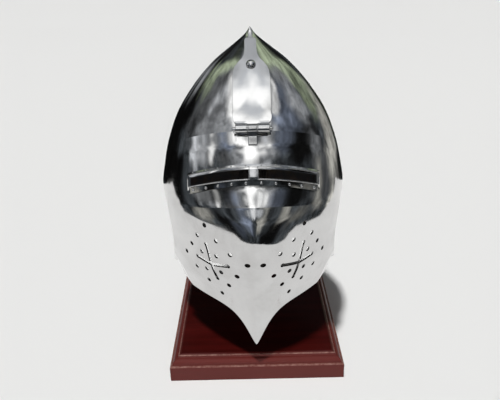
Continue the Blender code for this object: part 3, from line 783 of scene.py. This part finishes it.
def sight_cutter(side, grow):
    """One sight's opening, grown on all sides."""
    columns = sight_columns(grow, 24)
    low = [(side * x, CUT_FRONT, SIGHT_LOW - grow - arch(x)) for x in columns]
    high = [(side * x, CUT_FRONT, SIGHT_HIGH + grow - arch(x)) for x in columns]
    bm = bmesh.new()
    pushed(bm, low + high[::-1], (0, CUT_DEPTH, 0))
    return cutter_of("sight_cutter", bm)


def notch_cutter():
    """The notch in the visor's top edge, under the hinge."""
    corners = ((-NOTCH_HALF, NOTCH_LOW), (NOTCH_HALF, NOTCH_LOW), (NOTCH_HALF, HINGE_Z),
               (-NOTCH_HALF, HINGE_Z))
    bm = bmesh.new()
    pushed(bm, [(x, CUT_FRONT, z) for x, z in corners], (0, CUT_DEPTH, 0))
    return cutter_of("notch_cutter", bm)


def make_visor(steel, inside):
    """The visor's sheet, its mesh close along the keel and the crease, with its openings."""
    right = spread(0.0, [(0.012, 0.006), (0.06, 0.0096), (0.97, 0.0155), (1.0, 0.01)])
    across = [-u for u in right[:0:-1]] + right
    down = spread(0.0, [(CREASE - 0.012, 0.0108), (CREASE - 0.0045, 0.0038),
                        (CREASE - 0.0012, 0.0033), (CREASE, 0.0012), (CREASE + 0.0012, 0.0012),
                        (CREASE + 0.0045, 0.0033), (CREASE + 0.012, 0.0038), (1.0, 0.0108)])
    bm = outward(laid_sheet(across, down, visor_point), (0, -1, 0))
    visor = object_of("visor_polished", bm, (steel, inside))
    thicken(visor, VISOR_WALL, inner=1)
    cutters = []
    for side in (-1, 1):
        cutters += [sight_cutter(side, SIGHT_ROOM), breath_cutter(side)]
    shape(visor, VISOR_EASE, 2, cutters + [notch_cutter()])
    finished(visor, VISOR, ["visor_shell"])


def sight_beads():
    """A small rolled bead round each sight, standing up from the frame, as loose meshes."""
    beads = []
    columns = sight_columns(BEAD_RADIUS, 30)
    loop = [(x, SIGHT_LOW - BEAD_RADIUS) for x in columns]
    loop += [(x, SIGHT_HIGH + BEAD_RADIUS) for x in columns[::-1]]
    for side in (-1, 1):
        line = bpy.data.curves.new("bead", "CURVE")
        line.dimensions = "3D"
        line.bevel_depth = BEAD_RADIUS * MM
        line.bevel_resolution = 3
        spline = line.splines.new("POLY")
        spline.points.add(len(loop) - 1)
        spline.use_cyclic_u = True
        for point, (x, z) in zip(spline.points, loop):
            where, _ = frame_off(side * x, z, GAP + FRAME_SHEET + BEAD_LIFT)
            point.co = (*(where * MM), 1)
        obj = bpy.data.objects.new("bead", line)
        bpy.context.scene.collection.objects.link(obj)
        bpy.context.view_layer.update()
        graph = bpy.context.evaluated_depsgraph_get()
        beads.append(bpy.data.meshes.new_from_object(obj.evaluated_get(graph)))
        bpy.data.objects.remove(obj)
    return beads


def make_sight_frame(steel, bead_steel):
    """The applied frame: one sheet over both sights, with a lip and a bead round each."""
    half = 60
    across = [SIGHT_OUT * (i / half - 1) for i in range(2 * half + 1)]
    across = [-FRAME_HALF] + across + [FRAME_HALF]
    down = spread(FRAME_LOW, [(SIGHT_LOW, 1.0), (SIGHT_HIGH, 1.6), (FRAME_HIGH, 0.8)])
    bm = laid_sheet(across, down, lambda x, height: frame_off(x, height, GAP)[0])
    bm = outward(bm, (0, -1, 0))
    sight_frame = object_of("sight_frame_polished", bm, (steel, bead_steel))
    thicken(sight_frame, FRAME_SHEET, inwards=False)
    shape(sight_frame, FRAME_EASE, 3, [sight_cutter(side, 0.0) for side in (-1, 1)])
    add_mesh(sight_frame, sight_beads(), 1)
    smooth(sight_frame)
    finished(sight_frame, VISOR, ["sight_frame"])


# ---------- rivets and hinge
def dome_profile(radius, rise):
    """Half the outline of a rivet's head: a short foot, then the dome."""
    foot = [(0.0, -RIVET_FOOT), (radius * 0.97, -RIVET_FOOT)]
    return foot + quarter_round((0, 0), (radius, rise), 7)


def standing(point, out):
    """Stands a turned piece at a point, its height running the way out."""
    turn = Vector((0, 0, 1)).rotation_difference(out)
    return Matrix.Translation(point * MM) @ turn.to_matrix().to_4x4()


def domes(name, places, steel, steps):
    """Dome rivet heads joined as one piece; each place is point, way out, radius and rise."""
    whole = bmesh.new()
    for point, out, radius, rise in places:
        mesh = mesh_of("dome", turned(dome_profile(radius, rise), steps, standing(point, out)))
        whole.from_mesh(mesh)
        bpy.data.meshes.remove(mesh)
    obj = object_of(name, whole, (steel,))
    smooth(obj, 60)
    return obj


def make_sight_rivets(steel):
    """Two rows of small rivets along the strips of the sight frame."""
    places, nodes = [], []
    for row, height, radius, rise in RIVET_ROWS:
        for side, word in ((-1, "left"), (1, "right")):
            for i, x in enumerate(RIVET_X):
                out = frame_out(side * x, height)
                point = frame_off(side * x, height, GAP)[0] + out * (FRAME_SHEET + GAP - RIVET_SINK)
                places.append((point, out, radius, rise))
                nodes.append("sight_rivet_%s_%s_%d" % (row, word, i + 1))
    rivets = domes("sight_rivet_heads", places, steel, 20)
    finished(rivets, VISOR, nodes, weighted=False)


def make_plate_rivet(steel):
    """The one large rivet where the tongue leaves the plate."""
    point, out = skull_off(0.0, PLATE_RIVET_Z, 2 * GAP + PLATE_SHEET)
    place = (point - out * RIVET_SINK, out, PLATE_RIVET_RADIUS, PLATE_RIVET_RISE)
    rivet = domes("plate_rivet_polished", [place], steel, 48)
    finished(rivet, HELMET, ["plate_rivet"], weighted=False)


def along_x(x):
    """Stands a turned piece on the hinge's line, its height running along X from x."""
    return (Matrix.Translation(Vector((x, HINGE_Y, HINGE_Z)) * MM)
            @ Matrix.Rotation(math.radians(90), 4, "Y"))


def barrel(low, high):
    """One rolled knuckle of the hinge with its bore, as a loose mesh."""
    inner, outer, length = PIN_RADIUS + GAP, KNUCKLE_RADIUS, high - low
    slight = KNUCKLE_EASE * 0.3
    rim = [(outer - KNUCKLE_EASE, 0), (outer - slight, slight), (outer, KNUCKLE_EASE)]
    far_rim = [(radius, length - height) for radius, height in reversed(rim)]
    profile = [(inner, 0)] + rim + far_rim + [(inner, length), (inner, 0)]
    return mesh_of("knuckle", turned(profile, 40, along_x(low)))


def strap(points, half, x_middle, sheet, rounding):
    """A strip of sheet along a side-view line (y, z), thickened on its left-hand side."""
    outline = [Vector((x_middle - half, y, z)) for y, z in points]
    count = len(points)
    for i in range(count - 1, -1, -1):
        a, b = points[max(0, i - 1)], points[min(count - 1, i + 1)]
        length = math.hypot(b[0] - a[0], b[1] - a[1])
        outline.append(Vector((x_middle - half, points[i][0] - (b[1] - a[1]) / length * sheet,
                               points[i][1] + (b[0] - a[0]) / length * sheet)))
    bm = bmesh.new()
    pushed(bm, outline, (2 * half, 0, 0))
    bmesh.ops.recalc_face_normals(bm, faces=bm.faces)
    edges = [e for e in bm.edges if e.calc_face_angle(0) > math.radians(40)]
    bmesh.ops.bevel(bm, geom=edges, offset=rounding * MM, offset_type="OFFSET", segments=3,
                    profile=0.5, affect="EDGES", material=-1, clamp_overlap=True)
    return mesh_of("strap", bm)


def sliced(bm, at, way):
    """Adds a line of mesh where a plane crosses what is in bm."""
    bmesh.ops.bisect_plane(bm, geom=bm.verts[:] + bm.edges[:] + bm.faces[:], dist=1e-5,
                           plane_co=at, plane_no=way)


def make_plate(steel, filed):
    """The keyhole plate on the brow, with the hinge's two outer knuckles on their tabs."""
    outline = PLATE_OUTLINE + [(-x, z) for x, z in reversed(PLATE_OUTLINE)]
    half, top = max(x for x, _ in PLATE_OUTLINE), PLATE_OUTLINE[-1][1]
    rows, columns = int((top - PLATE_FIRST) / PLATE_UP), int(half / PLATE_ASIDE)
    bm = bmesh.new()
    bm.faces.new([bm.verts.new((x, 0, z)) for x, z in outline])
    for i in range(rows + 1):
        sliced(bm, (0, 0, PLATE_FIRST + PLATE_UP * i), (0, 0, 1))
    for i in range(-columns, columns + 1):
        sliced(bm, (PLATE_ASIDE * i, 0, 0), (1, 0, 0))
    for vert in bm.verts:
        vert.co = plate_off(vert.co.x, vert.co.z) * MM
    plate = object_of("hinge_plate_polished", outward(bm, (0, -1, 0)), (steel, filed))
    thicken(plate, PLATE_SHEET, inwards=False)
    shape(plate, PLATE_EASE, 3)
    roots = [skull_off(0, z, GAP + TAB_LIFT)[0] for z in TAB_ROOTS]
    line = [(HINGE_Y + TAB_TOP[0], HINGE_Z + TAB_TOP[1])] + [(p.y, p.z) for p in reversed(roots)]
    for low, high in KNUCKLES:
        tab = strap(line, (high - low) / 2, (low + high) / 2, TAB_SHEET, TAB_ROUND)
        add_mesh(plate, [barrel(low, high), tab], 1)
    smooth(plate)
    finished(plate, HELMET, ["hinge_plate"])


def make_leaf(steel):
    """The short leaf that carries the visor, with the hinge's middle knuckle."""
    line = []
    for i in range(LEAF_STEPS):
        point, _ = visor_off(0.0, LEAF_END + LEAF_STEP * i, GAP)
        line.append((point.y, point.z))
    line.append((HINGE_Y + LEAF_TOP[0], HINGE_Z + LEAF_TOP[1]))
    leaf = object_of("visor_leaf_polished", bmesh.new(), (steel,))
    add_mesh(leaf, [barrel(-LEAF_KNUCKLE, LEAF_KNUCKLE),
                    strap(line, LEAF_HALF, 0.0, LEAF_SHEET, LEAF_ROUND)])
    smooth(leaf)
    finished(leaf, VISOR, ["visor_leaf"])


def make_pin(steel):
    """The hinge's pin, with slightly rounded ends."""
    length = 2 * PIN_HALF
    profile = [(PIN_RADIUS * share, off) for share, off in PIN_END]
    profile += [(PIN_RADIUS * share, length - off) for share, off in reversed(PIN_END)]
    pin = object_of("hinge_pin_polished", turned(profile, 28, along_x(-PIN_HALF)), (steel,))
    smooth(pin, 60)
    finished(pin, HELMET, ["hinge_pin"], weighted=False)


# ---------- stand
def up_a_corner(edge):
    """Whether one of the base's edges runs up a corner of the board."""
    a, b = (vert.co for vert in edge.verts)
    diagonal = all(abs(abs(end.x) - abs(end.y)) < 1e-6 for end in (a, b))
    return diagonal and a.x * b.x > 0 and a.y * b.y > 0


def make_base(wood):
    """The square board: one moulded edge carried round all four sides."""
    bm = bmesh.new()
    profile = PLINTH_EDGE + quarter_round(OVOLO_AT, OVOLO_SIZE, 10) + TOP_EDGE
    made = bmesh.ops.create_circle(bm, cap_ends=True, segments=4, radius=1)
    ring = bm.edges[:]
    level = {vert: 0 for vert in made["verts"]}
    for i in range(1, len(profile)):
        grown = bmesh.ops.extrude_edge_only(bm, edges=ring)["geom"]
        edges = [g for g in grown if isinstance(g, bmesh.types.BMEdge)]
        ring = [edge for edge in edges if all(vert not in level for vert in edge.verts)]
        level.update({g: i for g in grown if isinstance(g, bmesh.types.BMVert)})
    bmesh.ops.contextual_create(bm, geom=ring)
    for vert, i in level.items():
        half, height = profile[i]
        reach = half * math.sqrt(2)
        angle = math.atan2(vert.co.y, vert.co.x) + math.pi / 4
        vert.co = Vector((reach * math.cos(angle), reach * math.sin(angle), height)) * MM
    bmesh.ops.recalc_face_normals(bm, faces=bm.faces)
    corners = [edge for edge in bm.edges if up_a_corner(edge)]
    bmesh.ops.bevel(bm, geom=corners, offset=BASE_CORNER * MM, offset_type="OFFSET", segments=3,
                    profile=0.5, affect="EDGES", material=-1, clamp_overlap=True)
    base = object_of("base_lacquered", bm, (wood,))
    smooth(base, 28)
    finished(base, HELMET, ["display_base"])


def make_post(wood):
    """A plain round post with a domed top, standing on the base."""
    height = POST_TOP - BASE_TOP - GAP
    profile = [(0, 0), (POST_RADIUS - POST_EASE, 0), (POST_RADIUS, POST_EASE)]
    profile += quarter_round((0, height - POST_RADIUS), (POST_RADIUS, POST_RADIUS), 12)
    foot = Matrix.Translation(Vector((0, POST_Y, BASE_TOP + GAP)) * MM)
    post = object_of("post_turned", turned(profile, 48, foot), (wood,))
    smooth(post)
    finished(post, HELMET, ["post"], weighted=False)


# ---------- stage, light, camera, in metres
FLOOR_RADIUS = 14.0
ROOM_AT, ROOM_RADIUS = (0.0, -0.1, 0.185), 3.0
# outline of the white sheet that the object stands on, and how far it lies under the object
PAPER = ((-0.50, -0.50), (0.05, -0.50), (0.24, -0.42), (0.27, -0.26), (0.42, -0.20), (0.41, 0.02),
         (0.62, 0.25), (0.76, 0.52), (-0.86, 0.52), (-0.90, 0.27), (-0.50, 0.06), (-0.46, -0.25))
PAPER_UNDER = 0.0005
# each lamp: name, strength, width in degrees, and the way that it shines from
SUNS = (("key", 2.9, 4, (-0.10, -0.235, 0.967)), ("front_fill", 2.4, 30, (0.0, -0.998, 0.06)))
# light from all round, and the colour behind the floor's far edge
AMBIENT, BACKDROP = 0.06, (0.78, 0.78, 0.78, 1)
CAMERA_AT, CAMERA_TILT, CAMERA_ROLL = (-0.004, -0.5953, 0.4515), 66, -1.25
# lens and film width, in millimetres
LENS, FILM = 38.65, 36.0

WHITE, COOL, BLUE = (1.0, 1.0, 1.0), (0.92, 0.95, 1.0), (0.7, 0.81, 1.06)
WARM, LEAF = (1.0, 0.98, 0.9), (0.86, 1.0, 0.7)
# what the steel mirrors, each painted over the last: heading and height of the middle,
# half width, half height and softness (all in degrees), brightness, tint
ROOM_PATCHES = (
    (-88, 52, 40, 14, 8, 0.42, COOL),
    (-108, 32, 20, 18, 8, 0.12, COOL),
    (-97, 31, 9, 9, 5, 0.36, COOL),
    (-113, 23, 6, 6, 4, 0.03, COOL),
    (-98, 54, 7, 5, 4, 0.13, COOL),
    (-121, 55, 6, 9, 4, 0.10, COOL),
    (-107, 51, 3, 9, 3, 0.62, COOL),
    (-82, 66, 40, 4, 3, 1.35, WHITE),
    (-163, 26, 16, 20, 5, 0.01, WHITE),
    (-146, 2, 20, 23, 4, 0.004, WHITE),
    (-133, 51, 5, 18, 3, 0.62, LEAF),
    (-130, 34, 5, 5, 3, 0.42, LEAF),
    (-140, 26, 6, 4, 2.5, 0.34, LEAF),
    (-151, 16, 6, 4, 2.5, 0.30, COOL),
    (-163, 6, 7, 4, 2.5, 0.22, COOL),
    (84, 48, 38, 16, 8, 0.17, BLUE),
    (70, 57, 10, 4, 4, 0.6, BLUE),
    (54, 55, 6, 3, 3, 0.6, COOL),
    (113, 38, 8, 12, 5, 0.42, COOL),
    (92, 44, 5, 4, 3, 0.36, BLUE),
    (95, 64, 24, 3.5, 3, 1.0, WHITE),
    (74, 22, 20, 14, 5, 0.006, WHITE),
    (97, 26, 8, 6, 4, 0.03, COOL),
    (110, 18, 9, 6, 4, 0.02, COOL),
    (137, 50, 8, 18, 3, 0.58, LEAF),
    (127, 50, 4, 12, 4, 0.30, COOL),
    (132, 22, 8, 9, 4, 0.25, LEAF),
    (146, 20, 5, 14, 3, 0.36, LEAF),
    (139, -2, 10, 12, 5, 0.42, WARM),
    (159, 24, 8, 14, 4, 0.01, WHITE),
    (160, -4, 9, 8, 4, 0.03, LEAF),
    (148, -16, 16, 3, 2, 0.01, WHITE),
    (-120, -7, 16, 8, 3, 0.004, WHITE),
    (-77, 22, 9, 12, 4, 0.5, COOL),
    (-88, 14, 7, 10, 3, 0.9, COOL),
    (-44, 41, 14, 6, 4, 0.36, BLUE),
    (-43, 27, 9, 9, 4, 0.10, COOL),
    (-24, 33, 10, 9, 5, 0.36, COOL),
    (24, 46, 15, 5, 5, 1.25, WHITE),
    (23, 35, 15, 6, 5, 0.45, COOL),
    (43, 44, 8, 6, 4, 0.24, BLUE),
    (47, 34, 8, 6, 5, 0.12, BLUE),
    (-24, 52, 20, 4, 3, 1.6, WHITE),
    (0, 24, 26, 2, 2, 0.8, COOL),
    (-22, 8, 9, 9, 5, 0.48, BLUE),
    (-54, -10, 10, 8, 4, 0.008, WHITE),
    (-40, -8, 5, 6, 3, 0.09, BLUE),
    (-80, -16, 10, 5, 4, 0.42, WARM),
    (-9, 4, 5, 9, 3, 0.07, BLUE),
    (22, 9, 9, 9, 4, 0.5, WARM),
    (42, -18, 14, 13, 4, 0.006, WHITE),
    (54, -3, 5, 7, 3, 0.42, WARM),
    (72, -14, 12, 5, 4, 0.16, WARM),
    (97, -9, 6, 11, 4, 0.34, WARM),
    (100, 12, 8, 8, 4, 0.22, COOL),
    (112, -4, 6, 7, 4, 0.10, COOL),
    (117, -20, 6, 4, 3, 1.1, WARM),
    (125, -6, 9, 6, 4, 0.6, WARM),
)
# lamps, lit strips and the ceiling, painted over the rest without its mottle
CLEAN_PATCHES = (
    (0, 38, 21, 2.5, 3, 1.3, WHITE),
    (-4, 38.5, 9.5, 11, 5, 2.0, WHITE),
    (23, 53, 6, 4, 4, 0.9, COOL),
    (-61, 23, 3.2, 9, 2, 1.35, WHITE),
    (-65, 32, 3.2, 5, 2, 1.35, WHITE),
    (0, 68, 55, 6, 3, 1.6, WHITE),
    (0, 92, 400, 18, 6, 1.6, WHITE),
    (0, 80, 48, 5, 2.5, 0.8, COOL),
    (180, 82, 80, 5, 4, 0.85, COOL),
    (180, 74, 60, 6, 4, 0.58, COOL),
)


def make_floor():
    """A pale floor, which the steel doesn't mirror: it mirrors the white sheet instead."""
    bm = bmesh.new()
    bmesh.ops.create_circle(bm, cap_ends=True, segments=96, radius=FLOOR_RADIUS)
    f = Finish("pale_floor")
    f.set(Base_Color=(0.8, 0.8, 0.79, 1), Roughness=0.9, Specular_IOR_Level=0.1)
    floor = object_of("floor", bm, (f.material,))
    floor.visible_glossy = False


def mirrored_only(obj):
    """A stage piece that only polished surfaces see."""
    for ray in ("camera", "diffuse", "transmission", "volume_scatter", "shadow"):
        setattr(obj, "visible_" + ray, False)


def glowing(f, light):
    """Makes a finish give off light of the given colour instead of reflecting it."""
    f.tree.nodes.remove(f.shader)
    glow = f.add("ShaderNodeEmission")
    f.put(light, glow.inputs["Color"])
    f.put(glow.outputs[0], f.tree.nodes["Material Output"].inputs["Surface"])
    return f.material


def room_bearings(f):
    """Heading and height, in degrees, at which a point of the room is seen from its middle."""
    x, y, z = f.split(f.place)
    flat = f.calc(f.calc(f.calc(x, x, "MULTIPLY"), f.calc(y, y, "MULTIPLY"), "ADD"), 0.5, "POWER")
    degrees = 180 / math.pi
    heading = f.calc(f.calc(x, f.calc(y, -1.0, "MULTIPLY"), "ARCTAN2"), degrees, "MULTIPLY")
    height = f.calc(f.calc(z, flat, "ARCTAN2"), degrees, "MULTIPLY")
    return heading, height


def painted(f, light, heading, height, patch):
    """The room's light with one more patch painted over it."""
    az, el, wide, high, soft, strength, tint = patch
    turn = f.add("ShaderNodeMath", operation="WRAP")
    f.put(f.calc(heading, az, "SUBTRACT"), turn.inputs[0])
    turn.inputs[1].default_value = 180.0
    turn.inputs[2].default_value = -180.0
    aside = f.calc(turn.outputs[0], 0.0, "ABSOLUTE")
    above = f.calc(f.calc(height, el, "SUBTRACT"), 0.0, "ABSOLUTE")
    mask = f.calc(f.ranged(aside, wide - soft, wide + soft, 1.0, 0.0),
                  f.ranged(above, high - soft, high + soft, 1.0, 0.0), "MULTIPLY")
    return f.blend(mask, light, (*(c * strength for c in tint), 1))


def make_room():
    """The studio round the object, there only for what the steel mirrors."""
    bm = bmesh.new()
    bmesh.ops.create_icosphere(bm, subdivisions=5, radius=ROOM_RADIUS)
    bmesh.ops.translate(bm, vec=ROOM_AT, verts=bm.verts)
    f = Finish("dim_studio")
    centre = f.add("ShaderNodeVectorMath", operation="SUBTRACT")
    f.put(f.place, centre.inputs[0])
    centre.inputs[1].default_value = ROOM_AT
    f.place = centre.outputs[0]
    heading, height = room_bearings(f)
    # the patches' edges waver by a few degrees
    waver = f.ranged(f.noise(1.1, 3.0, 0.6, turn=(1, 0, 0)), 0.3, 0.7, -4.0, 4.0)
    heading = f.calc(heading, waver, "ADD")
    waver = f.ranged(f.noise(1.3, 4.0, 0.6, turn=(0, 1, 0)), 0.3, 0.7, -3.5, 3.5)
    height = f.calc(height, waver, "ADD")
    cloud = f.ranged(f.noise(1.5, 5.0, 0.65, twist=0.6), 0.4, 0.72, 0.02, 0.16)
    light = f.blend(cloud, (0, 0, 0, 1), (0.8, 0.9, 1.0, 1))
    for patch in ROOM_PATCHES:
        light = painted(f, light, heading, height, patch)
    mottle = f.ranged(f.noise(4.6, 5.0, 0.72, twist=0.6), 0.35, 0.65, 0.42, 1.5)
    light = f.blend(1.0, light, mottle, "MULTIPLY")
    for patch in CLEAN_PATCHES:
        light = painted(f, light, heading, height, patch)
    mirrored_only(object_of("studio_room", bm, (glowing(f, light),)))


def make_paper():
    """The lit white sheet under the object, as the steel mirrors it."""
    bm = bmesh.new()
    bm.faces.new([bm.verts.new((x, y, -PAPER_UNDER)) for x, y in PAPER])
    f = Finish("white_paper")
    shade = f.ranged(f.noise(4.0, 2.0), 0.35, 0.65)
    light = f.blend(shade, (0.84, 0.83, 0.825, 1), (0.9, 0.895, 0.89, 1))
    mirrored_only(object_of("paper", bm, (glowing(f, light),)))


def make_light():
    """Two lamps that the steel doesn't mirror, and a dim light from all round."""
    for name, strength, width, way in SUNS:
        lamp = bpy.data.lights.new(name, "SUN")
        lamp.energy = strength
        lamp.angle = math.radians(width)
        sun = bpy.data.objects.new(name, lamp)
        sun.rotation_mode = "QUATERNION"
        sun.rotation_quaternion = Vector(way).to_track_quat("Z", "Y")
        sun.visible_glossy = False
        bpy.context.scene.collection.objects.link(sun)
    world = bpy.data.worlds.new("studio")
    bpy.context.scene.world = world
    world.use_nodes = True
    tree = world.node_tree
    tree.nodes.clear()
    seen = tree.nodes.new("ShaderNodeLightPath")
    mix = tree.nodes.new("ShaderNodeMixShader")
    dim, back = tree.nodes.new("ShaderNodeBackground"), tree.nodes.new("ShaderNodeBackground")
    dim.inputs["Strength"].default_value = AMBIENT
    back.inputs["Color"].default_value = BACKDROP
    tree.links.new(seen.outputs["Is Camera Ray"], mix.inputs[0])
    tree.links.new(dim.outputs[0], mix.inputs[1])
    tree.links.new(back.outputs[0], mix.inputs[2])
    tree.links.new(mix.outputs[0], tree.nodes.new("ShaderNodeOutputWorld").inputs["Surface"])


def make_camera():
    """The camera, in front and above, and colours shown as they are."""
    data = bpy.data.cameras.new("camera")
    data.sensor_width = FILM
    data.lens = LENS
    camera = bpy.data.objects.new("camera", data)
    bpy.context.scene.collection.objects.link(camera)
    camera.matrix_world = (Matrix.Translation(CAMERA_AT)
                           @ Matrix.Rotation(math.radians(CAMERA_TILT), 4, "X")
                           @ Matrix.Rotation(math.radians(CAMERA_ROLL), 4, "Z"))
    bpy.context.scene.camera = camera
    bpy.context.scene.view_settings.view_transform = "Standard"


# ---------- assembly
steel = polished_steel("polished_steel", 0.0006, 0.07)
hinge_steel = polished_steel("hinge_steel", 0.0002, 0.06)
filed_steel = polished_steel("filed_steel", 0.0001, 0.2)
# a darker copy of the steel for the leaf: its lower tone is painted shade
leaf_shaded_steel = polished_steel("leaf_shaded_steel", 0.0001, 0.22, 0.8)
# the visor's steel, with painted shade under the sight strip
visor_steel = polished_steel("visor_steel", 0.0006, 0.07, painted_shade=painted_shade_under_strip)
inside = inside_steel()
make_skull(steel, inside)
make_visor(visor_steel, inside)
make_sight_frame(hinge_steel, filed_steel)
make_sight_rivets(filed_steel)
make_plate(hinge_steel, filed_steel)
make_plate_rivet(filed_steel)
make_leaf(leaf_shaded_steel)
make_pin(filed_steel)
make_base(mahogany())
make_post(plain_wood())
make_floor()
make_room()
make_paper()
make_light()
make_camera()
